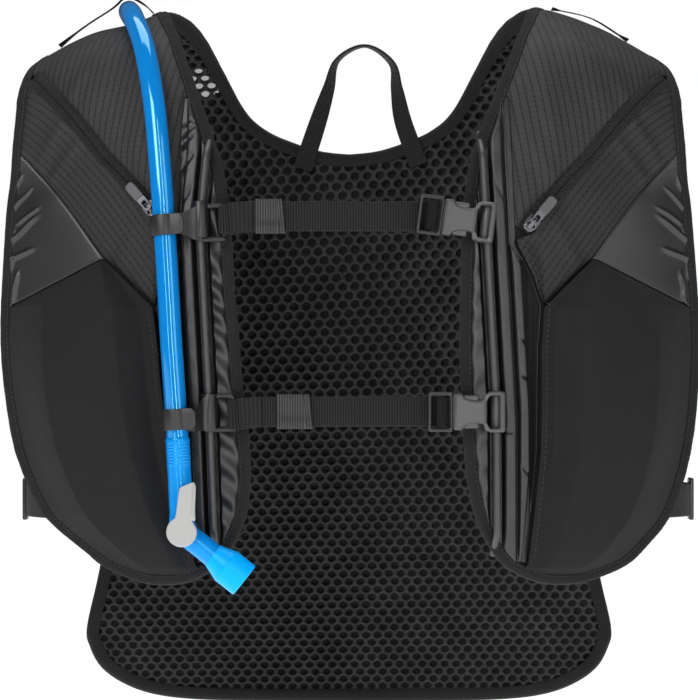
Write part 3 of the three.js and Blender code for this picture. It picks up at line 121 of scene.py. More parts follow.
# Seams of the right panel and edges of the back as place across and fall
ZIP_LINE = [(0.905, 0.04), (0.679, 0.252), (0.487, 0.394)]
SLANT_SEAM = [(0.99, 0.138), (0.682, 0.435), (0.543, 0.521)]
PATCH_SEAM = [(0.682, 0.435), (1.1, 0.549)]
HEM_LINE = [
    (0.451, 0.164), (0.467, 0.416), (0.51, 0.468), (0.538, 0.521),
    (0.529, 0.596), (0.526, 0.767), (0.498, 0.961),
]
NECK_LINE = [
    (0.461, 0.017), (0.379, 0.074), (0.315, 0.128), (0.246, 0.157),
    (0.152, 0.176), (0.079, 0.186), (0, 0.19),
]
BACK_EDGE = [
    (0.888, 0.055), (0.787, 0.165), (0.708, 0.275), (0.669, 0.413), (0.674, 0.551),
    (0.713, 0.689), (0.753, 0.807), (0.787, 0.887), (0.778, 0.917), (0.742, 0.948),
    (0.674, 0.972), (0.584, 0.988), (0.461, 0.996), (0.275, 0.999), (0, 1),
]

# Fall, right and left place of the rails that the straps slide on
RAILS = [(0.264, 0.368, 0.393), (0.384, 0.377, 0.41), (0.705, 0.405, 0.382), (0.918, 0.408, 0.371)]

# Slider of the right and of the left zip: its foot, then its axes across, along and out of the zip
SLIDER_PLACES = (
    ((91.221, -78.403, -110.727),
     ((0.7303, 0.118, -0.6728), (0.6301, 0.2639, 0.7303), (0.2638, -0.9573, 0.1184))),
    ((-99.058, -75.762, -103.429),
     ((0.7157, -0.1239, 0.6873), (-0.6359, 0.2913, 0.7147), (-0.2888, -0.9486, 0.1297))),
)

# Cross section of a folded tape, from its inner edge over the rim: share inwards, height
TAPE_PROFILE = np.array([
    (1.0, TAPE_HIGH - 0.5), (0.97, TAPE_HIGH - 0.05), (0.8, TAPE_HIGH), (0.5, TAPE_HIGH + 0.15),
    (0.22, TAPE_HIGH - 0.05), (0.08, TAPE_HIGH - 0.8), (0.0, TAPE_HIGH * 0.5),
    (0.03, TAPE_LOW + 1.0), (0.15, TAPE_LOW + 0.15), (0.4, TAPE_LOW), (0.95, TAPE_LOW + 0.05),
    (1.0, TAPE_LOW + 0.4),
])

# Half of a zip's cross section: place from its middle, height
ZIP_HALF = [
    (0.2, 0.5), (0.6, 0.9), (1.2, 1.0), (1.8, 1.05), (2.4, 1.0), (3.0, 0.9), (3.5, 0.5),
    (4.3, 0.1), (4.7, -0.6),
]

# Drawn folds: place across, way from the ridge, turn in degrees, half length, half width, height
POCKET_FOLDS = [
    (120, 62, 68, 34, 7, 1.2), (138, 70, 55, 26, 5, 1.1), (100, 95, 84, 40, 5, 0.9),
    (112, 40, 20, 30, 6, -0.9), (100, 130, 70, 20, 4, 0.8),
]
BAND_FOLDS = [
    (150, 98, 60, 22, 4, 1.0), (142, 112, 55, 18, 3.5, 0.9), (128, 130, -36, 24, 5, 0.6),
    (108, 160, 60, 16, 3, 0.7),
]
PATCH_FOLDS = [
    (168, 120, 74, 9, 1.1, 1.9), (170, 135, 80, 8, 1.0, 1.9), (165, 129, 52, 8, 1.0, 1.6),
    (164, 147, 38, 10, 1.2, 1.8), (170, 152, 78, 7, 1.0, 1.6), (166, 161, 18, 8, 1.2, 1.7),
    (171, 168, 76, 8, 1.0, 1.8), (168, 180, 84, 9, 1.0, 1.7), (161, 139, 30, 7, 1.2, 1.2),
]
CARGO_FOLDS = [(128, 168, 12, 40, 6, 0.9), (105, 190, 84, 30, 4, -0.8), (150, 178, 60, 24, 6, 0.8)]

# Creases of the right and the left gusset: the same, with the fall in place of the way
GUSSET_CREASES = {
    1: [
        (88, 0.585, 35, 3.2, 0.9, -1.8), (88.5, 0.645, 25, 3.4, 0.9, -1.8),
        (77, 0.735, 0, 4, 0.8, -1.4), (75, 0.33, 60, 8, 1.0, -0.4), (87, 0.8, 50, 4, 1.0, -1.0),
    ],
    -1: [
        (79, 0.211, 24, 6, 0.8, -1.5), (79, 0.23, 39, 7, 0.9, -1.6), (80, 0.25, 45, 8, 0.9, -1.6),
        (80, 0.29, 53, 10, 1.0, -1.4), (79, 0.34, 60, 8, 1.0, -0.8),
    ],
}

# Rows of the back's mesh: way down from the ridge, distance to the next row
ROW_STEPS = [(60, 5.0), (170, 4.95), (300, 4.45), (374, 4.0), (412, 3.8)]
# Holes in a row: way down from the ridge, distance to the next hole, share of the rows' slant
HOLE_STEPS = [(60, 6.7, 1), (170, 6.7, 1), (300, 6.3, 0.4), (400, 6.05, 0.1)]
# A hexagon's corners in steps of hole and row, and the turn of its hole's corners and side middles
HEXAGON = np.array([(0.5, 0.27), (0, 0.73), (-0.5, 0.27), (-0.5, -0.27), (0, -0.73), (0.5, -0.27)])
HOLE_TURNS = [21.7, 55.85, 90, 124.15, 158.3, 180, 201.7, 235.85, 270, 304.15, 338.3, 360]

# Where light comes through the back: middle across and along, half width and half height
WINDOW = (-84, -73, 15, 11)
# Layers seen through the mesh's holes: name, height, finish, cut size
BACK_LAYERS = [
    ("back_spacer_core", 3.3, "spacer core", (330, 400)),
    ("back_outer_knit", BACK_THICK, "lining knit", (330, 400)),
    ("back_sheer_knit_painted_backlight", BACK_THICK, "sheer knit with painted backlight", (30, 22)),
]

# Tube's route: share of the half width, way along the form from the ridge, height over the form
TUBE_ROUTE = [
    (-0.4528, 277, 19.2), (-0.4573, 264, 18.4), (-0.4624, 250, 17.6), (-0.4697, 231, 17),
    (-0.4775, 212, 16.6), (-0.4865, 186, 16.2), (-0.4978, 154, 16), (-0.5112, 124, 15.8),
    (-0.5337, 92, 15.2), (-0.5674, 61, 13.8), (-0.5983, 34, 12.6), (-0.6191, 10, 11.4),
    (-0.6236, -6, 11.4), (-0.6124, -26, 12.6), (-0.5730, -52, 14.2), (-0.5056, -82, 15.6),
    (-0.4213, -112, 16), (-0.3427, -142, 16), (-0.2921, -168, 16),
]

# Carrying loop: share of its span, share of its rise, and its turn in quarter turns
LOOP_LINE = [
    (0, -0.03, 0), (0.13, 0.35, 0.25), (0.225, 0.64, 0.6), (0.3, 0.88, 0.9), (0.54, 1, 1),
    (0.77, 0.85, 0.85), (0.81, 0.64, 0.6), (0.86, 0.38, 0.25), (1, 0, 0),
]

# Chest straps: height of the ring, tilt of the buckle, way from the fold to the keeper, the keeper's
# length, and how far the ring, the clip and the buckle hang below the strap
CHEST_STRAPS = {
    "upper": (-108.1, 0.13, 2, 15, (-3.4, -4.4, -3.2)),
    "lower": (-204.3, 0.0, 8, 18, (-0.6, -4.2, 0)),
}

# Lights, in metres and watts: name, place, width, height, power, whether matt cloth sees it
LIGHTS = [
    ("key", (-0.9, -1.6, 0.9), 0.9, 0.9, 18, True),
    ("fill", (1.3, -1.4, 0.3), 0.7, 1.1, 5.5, True),
    ("top", (0, 0.2, 1.4), 1.4, 1.0, 14, True),
    ("strip", (0.3, -1.8, -0.05), 0.1, 2.2, 11, False),
    ("edge strip", (-0.75, -1.6, -0.1), 0.07, 2.2, 6, False),
]
CAMERA_PLACE = (0, -2.085, -0.174)
CAMERA_LENS = 205.7
FLOOR_LEVEL = -0.62
FLOOR_REACH = 12.0


# The form that the vest is laid on


def ease(low, high, value):
    """A soft step from 0 at low to 1 at high."""
    t = np.clip((np.asarray(value, float) - low) / (high - low), 0, 1)
    return t * t * (3 - 2 * t)


def mix(a, b, t):
    return a + (b - a) * t


def arch(t, power):
    """A hump over t from 0 to 1; a lower power makes it fuller."""
    return np.maximum(0, np.sin(np.pi * np.clip(t, 0, 1))) ** power


def unit(vectors):
    """The vectors at length one."""
    return vectors / np.linalg.norm(vectors, axis=-1, keepdims=True)


def run_of(points):
    """Length along a line up to each of its points."""
    return np.concatenate([[0], np.cumsum(np.linalg.norm(np.diff(points, axis=0), axis=1))])


def picked(at, run, points):
    """Points of a line at the given lengths along it."""
    return np.stack([np.interp(at, run, column) for column in np.transpose(points)], -1)


def spline(points, count):
    """A uniform Catmull-Rom line through the points."""
    p = np.array(points, float)
    t = np.linspace(0, len(p) - 1, count + 1)
    i = np.minimum(t.astype(int), len(p) - 2)
    w = (t - i)[:, None]
    before, here, after = p[np.maximum(i - 1, 0)], p[i], p[i + 1]
    beyond = p[np.minimum(i + 2, len(p) - 1)]
    start, end = (after - before) / 2, (beyond - here) / 2
    return (
        (2 * here - 2 * after + start + end) * w**3
        + (-3 * here + 3 * after - 2 * start - end) * w**2
        + start * w
        + here
    )


def spine_line():
    """The form's middle line from the back's hem to the chest's: way from the ridge, y, z."""
    back = [(BACK_DEPTH * out, -BACK_LENGTH * fall) for out, fall in BACK_PROFILE][::-1]
    chest = [(-CHEST_DEPTH * out, -FRONT_LENGTH * fall) for out, fall in CHEST_PROFILE]
    line = spline(back + chest, 1600)
    run = np.concatenate([[0], np.cumsum(np.hypot(*np.diff(line, axis=0).T))])
    return run - run[np.argmin(np.hypot(*line.T))], line[:, 0], line[:, 1]


SPINE_S, SPINE_Y, SPINE_Z = spine_line()
CHEST_SIDE = SPINE_S >= 0
CHEST_FALL = -SPINE_Z[CHEST_SIDE] / FRONT_LENGTH
BACK_FALL = -SPINE_Z[~CHEST_SIDE][::-1] / BACK_LENGTH


def chest_way(fall):
    return np.interp(fall, CHEST_FALL, SPINE_S[CHEST_SIDE])


def chest_fall(s):
    return np.where(np.asarray(s) > 0, np.interp(s, SPINE_S[CHEST_SIDE], CHEST_FALL), 0)


def back_way(fall):
    return np.interp(fall, BACK_FALL, SPINE_S[~CHEST_SIDE][::-1])


def marks(rows, way):
    """Rows of place across and fall as millimetres across and along the form."""
    return [(HALF_WIDTH * across, float(way(fall))) for across, fall in rows]


def form(x, s):
    """Points of the wearer's side of the vest: x across, s along it from the ridge."""
    x, s = np.broadcast_arrays(np.asarray(x, float), np.asarray(s, float))
    reach = np.abs(x)
    beyond = np.maximum(0, (reach - SHOULDER_FLAT) / (SHOULDER_EDGE - SHOULDER_FLAT))
    drop = SHOULDER_DROP * beyond**1.5 * np.exp(-((s / SHOULDER_REACH) ** 2))
    aside = (x - GROOVE_X) / GROOVE_WIDTH
    groove = GROOVE_DEPTH * np.exp(-0.5 * aside**2 - (s / GROOVE_LENGTH) ** 2)
    wrap = np.where(s > 0, FRONT_WRAP, -BACK_WRAP) * (reach / HALF_WIDTH) ** 2.6
    y = np.interp(s, SPINE_S, SPINE_Y) + wrap * ease(20, 130, np.abs(s))
    return np.stack([x, y, np.interp(s, SPINE_S, SPINE_Z) - drop - groove], -1)


def lifted(x, s, h):
    """The same points raised outwards by h."""
    arrays = [np.asarray(values, float) for values in (x, s, h)]
    x, s, h = np.broadcast_arrays(*arrays)
    step = 1.5
    ahead, aside = form(x, s + step) - form(x, s - step), form(x + step, s) - form(x - step, s)
    return form(x, s) + unit(np.cross(ahead, aside)) * h[..., None]


def left_of(ways):
    """The directions a quarter turn to the left."""
    return np.stack([-ways[:, 1], ways[:, 0]], 1)


def beside(points, distance):
    """A line moved sideways, to its left for a positive distance."""
    return points + distance * left_of(unit(np.gradient(points, axis=0)))


def inset(polygon, distance):
    """A closed outline drawn smaller by the distance."""
    p = np.array(polygon, float)
    before, after = np.roll(p, 1, 0), np.roll(p, -1, 0)
    turn = np.sign((p[:, 0] * after[:, 1] - after[:, 0] * p[:, 1]).sum())
    first, second = unit(p - before), unit(after - p)
    inward = unit(left_of(first + second))
    sharp = np.maximum(0.5, (inward * left_of(first)).sum(1))
    return p + turn * inward * distance / sharp[:, None]


def panel_inset(outline, distance, towards, ends):
    """An inset that keeps the ends on the shoulder seam in place."""
    beyond = np.array(outline, float)
    beyond[list(ends), 1] += towards * distance
    return inset(beyond, distance)


def crossings(polygon, s):
    """Where an outline crosses the given s, from left to right."""
    p, q = polygon, np.roll(polygon, -1, 0)
    hit = (p[:, 1] <= s) != (q[:, 1] <= s)
    p, q = p[hit], q[hit]
    return np.sort(p[:, 0] + (q[:, 0] - p[:, 0]) * (s - p[:, 1]) / (q[:, 1] - p[:, 1]))


def span_at(polygons, s):
    """The stretch at s that all outlines share, or None."""
    found = [crossings(polygon, s) for polygon in polygons]
    if any(len(places) < 2 for places in found):
        return None
    low, high = max(places[0] for places in found), min(places[-1] for places in found)
    return (low, high) if high - low > 0.3 else None


def inside_polygon(polygon, x, s):
    """Which of the points lie inside the outline."""
    inside = np.zeros(x.shape, bool)
    for (x0, s0), (x1, s1) in zip(polygon, np.roll(polygon, -1, 0)):
        if s0 != s1:
            inside ^= ((s0 <= s) != (s1 <= s)) & (x < x0 + (x1 - x0) * (s - s0) / (s1 - s0))
    return inside


def front_outline():
    """The right panel's outline, from the inner end of its shoulder seam round to the outer one."""
    seam_s = GAP / 2 - SEAM_SETBACK
    inner = marks([(low, fall) for fall, low, _ in FRONT_PANEL], chest_way)
    outer = marks([(high, fall) for fall, _, high in FRONT_PANEL], chest_way)[::-1]
    start, end = (HALF_WIDTH * SHOULDER_INNER, seam_s), (HALF_WIDTH * SHOULDER_OUTER, seam_s)
    return spline([start, *inner, *outer, end], 420)


def back_outline():
    """The back's outline: neck from the right to the left shoulder, then the edge back round."""
    seam_s = -SEAM_SETBACK - GAP / 2
    neck = spline([(HALF_WIDTH * SHOULDER_INNER, seam_s), *marks(NECK_LINE, back_way)], 130)
    edge = spline([(HALF_WIDTH * SHOULDER_OUTER, seam_s), *marks(BACK_EDGE, back_way)], 260)
    mirror = np.array([-1, 1])
    neck_whole = np.concatenate([neck, (neck * mirror)[::-1][1:]])
    return neck_whole, np.concatenate([edge * mirror, edge[:-1][::-1]])


FRONT_OUTLINE = front_outline()
FRONT_INSIDE = panel_inset(FRONT_OUTLINE, BINDING_WIDTH - 1, -1, (0, -1))
HANDED_S = np.arange(GAP - SEAM_SETBACK, float(chest_way(0.98)), 0.5)
HANDED_SPANS = np.array([span_at([FRONT_OUTLINE], s) for s in HANDED_S])
NECK, EDGE = back_outline()
BACK_OUTLINE = np.concatenate([NECK, EDGE])
BACK_ENDS = (0, len(NECK) - 1, len(NECK), len(BACK_OUTLINE) - 1)


def back_inset(distance):
    return panel_inset(BACK_OUTLINE, distance, 1, BACK_ENDS)


def handed(side, x, s):
    """The right panel's x moved to where it hangs on the given side: 1 is right, -1 is left."""
    x, s = np.broadcast_arrays(np.asarray(x, float), np.asarray(s, float))
    if side > 0:
        return x
    low, high = (np.interp(s, HANDED_S, ends) for ends in HANDED_SPANS.T)
    falls, inner, outer = np.array(LEFT_SWAY).T
    fall = chest_fall(s)
    share = np.clip((x - low) / (high - low), 0, 1)
    return SWAY * mix(np.interp(fall, falls, inner), np.interp(fall, falls, outer), share) - x


def on_front(side, x, s, h):
    """Points over a front panel, from places on the right one."""
    return lifted(handed(side, x, s), s, h)


def seam(rows):
    """A seam as a fine line, straight between its rows of place across and fall."""
    points = []
    for (x0, f0), (x1, f1) in zip(rows, rows[1:]):
        for t in np.linspace(0, 1, 25)[(1 if points else 0):]:
            points.append((HALF_WIDTH * mix(x0, x1, t), float(chest_way(mix(f0, f1, t)))))
    return np.array(points)


def front_shapes():
    """Outlines of the covers on the right panel, with the lines of its zip and hem."""
    zip_line, hem, slant, patch = map(seam, (ZIP_LINE, HEM_LINE, SLANT_SEAM, PATCH_SEAM))
    reach = ZIP_TAPE_WIDTH / 2 - 1.6
    above_zip, below_zip = beside(zip_line, reach), beside(zip_line, -reach)
    hem_out, hem_in = beside(hem, 0.1), beside(hem, GAP)
    far_in, far_out, foot_s = -60, HALF_WIDTH * 1.3, float(chest_way(1.04))
    hem_s, meet_s = hem_out[:, 1], patch[0, 1]
    upper, lower = hem_out[hem_s < above_zip[-1, 1]], hem_out[hem_s > slant[-1, 1]]
    middle = hem_out[(hem_s > below_zip[-1, 1]) & (hem_s < slant[-1, 1])]
    stop = np.argmax(slant[:, 1] >= meet_s)
    return {
        "zip_pocket": np.array([(far_in, -30), *upper, *above_zip[::-1], (far_out, -30)]),
        "mid_band": np.array([*below_zip, *middle, *slant[::-1], (far_out, slant[0, 1])]),
        "corner_patch": np.array([*slant[:stop], *patch]),
        "cargo_pocket": np.array([
            *patch[::-1], *slant[slant[:, 1] > meet_s], *lower,
            (HALF_WIDTH * 0.4, foot_s), (far_out, foot_s),
        ]),
        "gusset": np.array([(far_in, hem_in[0, 1]), *hem_in, (far_in, hem_in[-1, 1])]),
        "zip": zip_line, "hem": hem,
    }


SHAPES = front_shapes()


def rail_x(side, fall):
    falls, right, left = np.array(RAILS).T
    return HALF_WIDTH * np.interp(fall, falls, right if side > 0 else left)


def rail_place(side, fall, lift=RAIL_LIFT):
    """Points of a rail's middle at the given falls."""
    return lifted(side * rail_x(side, fall), chest_way(fall), lift)


def ripple(x, s, size, seed):
    """Smooth uneven waves between -1 and 1 of about the given size, the same on each run."""
    draw = np.random.default_rng(seed)
    total = np.zeros(np.broadcast(x, s).shape)
    for _ in range(6):
        angle, phase = draw.uniform(0, 2 * np.pi, 2)
        turned = (x * math.cos(angle) + s * math.sin(angle)) / (size * draw.uniform(0.7, 1.5))
        total = total + np.sin(2 * np.pi * turned + phase)
    return total / 6


def folds(x, s, rows):
    """Heights of drawn folds, given in rows like POCKET_FOLDS."""
    total = np.zeros(np.broadcast(x, s).shape)
    for x0, s0, turn, long, wide, high in rows:
        c, d = math.cos(math.radians(turn)), math.sin(math.radians(turn))
        a, b = (x - x0) * c + (s - s0) * d, (s - s0) * c - (x - x0) * d
        total = total + high * np.exp(-((a / long) ** 4) - (b / wide) ** 2)
    return total


# Meshes: a part is its points, faces and its cloth's own places, all in millimetres


def size_of(name):
    """One of the user's sizes, in millimetres."""
    return getattr(bpy.context.scene.vest_sizes, name) / MM


def make_piece(name, part, finish, replaces=(), body="vest", angle=None):
    """Adds a part as one mesh piece; edges that bend by more than the angle stay hard."""
    points, faces, uv = part
    mesh = bpy.data.meshes.new(name)
    points = np.reshape(points, (-1, 3)) * MM
    mesh.from_pydata(points.tolist(), [], [list(map(int, face)) for face in faces])
    if uv is not None:
        layer = mesh.uv_layers.new(name="cloth")
        loops = np.zeros(len(mesh.loops), int)
        mesh.loops.foreach_get("vertex_index", loops)
        layer.data.foreach_set("uv", np.reshape(uv, (-1, 2)).astype(float)[loops].ravel())
    mesh.polygons.foreach_set("use_smooth", [True] * len(mesh.polygons))
    mesh.validate()
    if angle:
        mesh.set_sharp_from_angle(angle=math.radians(angle))
    made = bpy.data.objects.new(name, mesh)
    bpy.context.scene.collection.objects.link(made)
    mesh.materials.append(FINISH[finish])
    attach(made, body)
    if replaces:
        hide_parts(*replaces)
    return made


def dress(node, finish):
    """Gives a CAD piece that shows as it is its finish."""
    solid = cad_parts[node]
    solid.data.materials.clear()
    solid.data.materials.append(FINISH[finish])


def grid_faces(rows, columns, closed=False, start=0):
    """Quads of a grid of points; closed joins the last column to the first."""
    across = np.arange(columns if closed else columns - 1)
    i, j = np.meshgrid(np.arange(rows - 1), across, indexing="ij")
    k = (j + 1) % columns
    upper, lower = i * columns, (i + 1) * columns
    return (np.stack([upper + j, upper + k, lower + k, lower + j], -1).reshape(-1, 4) + start).tolist()


def end_faces(rings, count):
    """Faces that close the first and the last of the rings of so many points."""
    return [list(range(count))[::-1], [count * (rings - 1) + k for k in range(count)]]


def slab(x, s, outer, inner, turned=False):
    """A sheet with two sides and a rim, from two grids of points over the same places."""
    rows, columns = x.shape
    count = rows * columns
    sides = [grid_faces(rows, columns), grid_faces(rows, columns, start=count)]
    back = 0 if turned else 1
    sides[back] = [face[::-1] for face in sides[back]]
    rim = list(range(columns)) + [i * columns + columns - 1 for i in range(1, rows)]
    rim += [(rows - 1) * columns + k for k in range(columns - 2, -1, -1)]
    rim += [i * columns for i in range(rows - 2, 0, -1)]
    faces = sides[0] + sides[1]
    faces += [[a, a + count, b + count, b] for a, b in zip(rim, rim[1:] + rim[:1])]
    return np.stack([outer, inner]), faces, np.tile(np.stack([x, s], -1).reshape(-1, 2), (2, 1))


def sweep(path, across, outline):
    """A solid along a path: outline is a closed ring of (along across, along the normal)."""
    path, across, ring = (np.asarray(a, float) for a in (path, across, outline))
    way = unit(np.gradient(path, axis=0))
    across = unit(across - way * (across * way).sum(1, keepdims=True))
    normal = np.cross(way, across)
    points = path[:, None] + across[:, None] * ring[None, :, :1] + normal[:, None] * ring[None, :, 1:]
    faces = grid_faces(len(path), len(ring), closed=True) + end_faces(len(path), len(ring))
    uv = np.stack(np.broadcast_arrays(ring[None, :, 0], run_of(path)[:, None]), -1)
    return points.reshape(-1, 3), faces, uv.reshape(-1, 2)


def merged(parts):
    """Several parts as one."""
    faces, start = [], 0
    for points, quads, _ in parts:
        faces += [[k + start for k in face] for face in quads]
        start += len(points)
    points, _, uvs = zip(*parts)
    return np.concatenate(points), faces, np.concatenate(uvs)


def placed(parts, origin, axes):
    """Several parts as one, moved from their own x, y and z to the given axes at the origin."""
    points, faces, uv = merged(parts)
    return points @ np.array(axes, float) + np.array(origin, float), faces, uv


def flat_ring(width, thick):
    """Cross section of a strip with softly rounded edges."""
    r = thick / 2
    angles = np.linspace(-np.pi / 2, np.pi / 2, 5)
    right = [(width / 2 - r + r * math.cos(a), r * math.sin(a)) for a in angles]
    left = [(-width / 2 + r - r * math.cos(a), -r * math.sin(a)) for a in angles]
    middle = np.linspace(0.8, -0.8, 5) * (width / 2 - r)
    return right + [(m, r) for m in middle] + left + [(-m, -r) for m in middle]


def round_ring(radius, sides):
    """A circle as a closed ring of points."""
    angles = np.arange(sides) * 2 * np.pi / sides
    return np.stack([radius * np.cos(angles), radius * np.sin(angles)], 1)


def lathe(profile, sides, origin, axis):
    """A turned solid: profile rows are (radius, height) along the axis from the origin."""
    turn = Vector((0, 0, 1)).rotation_difference(Vector(axis).normalized()).to_matrix()
    radii, heights = np.array(profile, float)[:, :1], np.array(profile, float)[:, 1:]
    angles = np.arange(sides) * 2 * np.pi / sides
    local = [radii * np.cos(angles), radii * np.sin(angles), np.repeat(heights, sides, 1)]
    points = np.stack(local, -1).reshape(-1, 3) @ np.array(turn).T + np.array(origin)
    uv = np.stack(np.broadcast_arrays(angles[None] * radii, heights), -1).reshape(-1, 2)
    return points, grid_faces(len(profile), sides, closed=True), uv


def rounded(points, radius, steps=5):
    """A closed outline with its corners rounded; radius is one number or one for each corner."""
    p = np.array(points, float)
    radii = np.broadcast_to(radius, len(p))
    out = []
    for k, corner in enumerate(p):
        before, after = p[k - 1] - corner, p[(k + 1) % len(p)] - corner
        r = min(radii[k], 0.48 * np.linalg.norm(before), 0.48 * np.linalg.norm(after))
        start, end = corner + unit(before) * r, corner + unit(after) * r
        for u in np.linspace(0, 1, steps if r > 0.01 else 1):
            out.append((1 - u) ** 2 * start + 2 * u * (1 - u) * corner + u * u * end)
    return np.array(out)


def rectangle(x0, x1, z0, z1):
    return [(x0, z0), (x1, z0), (x1, z1), (x0, z1)]


def plate(loops, thick, rounding=0.4, steps=3, depth=0.0):
    """A flat moulding in x and z with rounded rims: the first loop is outside, the rest are holes."""
    curve = bpy.data.curves.new("plate", "CURVE")
    curve.dimensions, curve.fill_mode = "2D", "BOTH"
    curve.extrude, curve.bevel_depth = thick / 2 - rounding, rounding
    curve.bevel_resolution, curve.offset = steps, -rounding
    for loop in loops:
        line = curve.splines.new("POLY")
        line.points.add(len(loop) - 1)
        line.points.foreach_set("co", [c for x, z in loop for c in (float(x), float(z), 0.0, 1.0)])
        line.use_cyclic_u = True
    holder = bpy.data.objects.new("plate", curve)
    mesh = holder.to_mesh()
    points = np.array([(v.co.x, depth - v.co.z, v.co.y) for v in mesh.vertices])
    faces = [tuple(face.vertices) for face in mesh.polygons]
    holder.to_mesh_clear()
    bpy.data.objects.remove(holder)
    bpy.data.curves.remove(curve)
    return points, faces, points[:, [0, 2]]


def bar(start, end, radius, sides=16):
    """A round bar between two points."""
    start, end = np.array(start, float), np.array(end, float)
    across = np.cross(end - start, (0.3, 0.9, 0.1))
    return sweep([start, mix(start, end, 0.5), end], np.tile(across, (3, 1)), round_ring(radius, sides))


def catmull(points, count):
    """A centripetal Catmull-Rom curve through points."""
    p = np.array(points, float)
    p = np.concatenate([[2 * p[0] - p[1]], p, [2 * p[-1] - p[-2]]])
    out = []
    for t in np.linspace(0, len(points) - 1, count):
        i = min(int(t), len(points) - 2)
        w = t - i
        p0, p1, p2, p3 = p[i:i + 4]
        d0, d1, d2 = np.maximum(np.linalg.norm(np.diff(p[i:i + 4], axis=0), axis=1) ** 0.5, 1e-4)
        m1 = ((p1 - p0) / d0 - (p2 - p0) / (d0 + d1) + (p2 - p1) / d1) * d1
        m2 = ((p2 - p1) / d1 - (p3 - p1) / (d1 + d2) + (p3 - p2) / d2) * d1
        bend, lean = 2 * p1 - 2 * p2 + m1 + m2, -3 * p1 + 3 * p2 - 2 * m1 - m2
        out.append(p1 + m1 * w + lean * w**2 + bend * w**3)
    return np.array(out)


def ribbon(name, path, across, width, thick, finish, replaces=()):
    """A strip of webbing along a path, drawn finely enough to bend smoothly."""
    run = run_of(path)
    at = np.linspace(0, run[-1], max(12, int(run[-1] / 0.8)))
    fine = picked(at, run, path)
    for _ in range(3):
        fine[1:-1] = 0.25 * fine[:-2] + 0.5 * fine[1:-1] + 0.25 * fine[2:]
    part = sweep(fine, picked(at, run, across), flat_ring(width, thick))
    piece = make_piece(name, part, finish, replaces)


def surface_of(pieces):
    """The pieces' outer surface, to lay stitches on."""
    points, faces = [], []
    for piece in pieces:
        faces += [[k + len(points) for k in p.vertices] for p in piece.data.polygons]
        points += [v.co for v in piece.data.vertices]
    return BVHTree.FromPolygons(points, faces)


def laid_on(surface, high, low, lift):
    """Points found on the surface between high and low points, raised; None where it misses."""
    out = []
    for top, foot in zip(high, low):
        way = Vector(foot - top)
        ahead = way.normalized()
        hit = surface.ray_cast(Vector(top) * MM, ahead, way.length * MM)[0]
        out.append(None if hit is None else np.array(hit) / MM - np.array(ahead) * lift)
    return out


# Materials


FINISH = {}


def hex_linear(value):
    """An sRGB hex colour as linear RGBA."""
    channels = [int(value[i:i + 2], 16) / 255 for i in (1, 3, 5)]
    return tuple(c / 12.92 if c <= 0.04045 else ((c + 0.055) / 1.055) ** 2.4 for c in channels) + (1.0,)


def shade(colour, share):
    """A linear colour made darker or lighter by the share."""
    return tuple(c * share for c in colour[:3]) + (1.0,)


def add_node(tree, kind, inputs=None, **settings):
    """Adds one node with its settings; an input given as a socket is linked, any other is set."""
    made = tree.nodes.new(kind)
    for name, value in settings.items():
        setattr(made, name, value)
    for name, value in (inputs or {}).items():
        if isinstance(value, bpy.types.NodeSocket):
            tree.links.new(value, made.inputs[name])
        else:
            made.inputs[name].default_value = value
    return made


def maths(tree, operation, *values):
    """The result of one step of arithmetic."""
    return add_node(tree, "ShaderNodeMath", dict(enumerate(values)), operation=operation).outputs[0]


def blended(tree, share, low, high):
    """The colour between two that lies at the share."""
    return add_node(tree, "ShaderNodeMix", {0: share, 6: low, 7: high}, data_type="RGBA").outputs[2]


def noise(tree, place, scale, **inputs):
    """Uneven tones over the place, finer for a larger scale."""
    return add_node(tree, "ShaderNodeTexNoise", {"Vector": place, "Scale": scale, **inputs}).outputs[0]


def stripes(tree, place, spacing, share):
    """1 on lines that fill the share of their spacing, 0 between them."""
    cut = maths(tree, "FRACT", maths(tree, "DIVIDE", place, spacing))
    far = maths(tree, "ABSOLUTE", maths(tree, "SUBTRACT", cut, 0.5))
    limits = {"Value": far, "From Min": share / 2 + 0.07, "From Max": share / 2 - 0.07}
    return add_node(tree, "ShaderNodeMapRange", limits).outputs[0]


def start_material(name):
    """An empty material kept under its name, as its node tree."""
    FINISH[name] = bpy.data.materials.new(name)
    FINISH[name].use_nodes = True
    FINISH[name].node_tree.nodes.clear()
    return FINISH[name].node_tree


def end_material(tree, shader):
    add_node(tree, "ShaderNodeOutputMaterial", {"Surface": shader.outputs[0]})


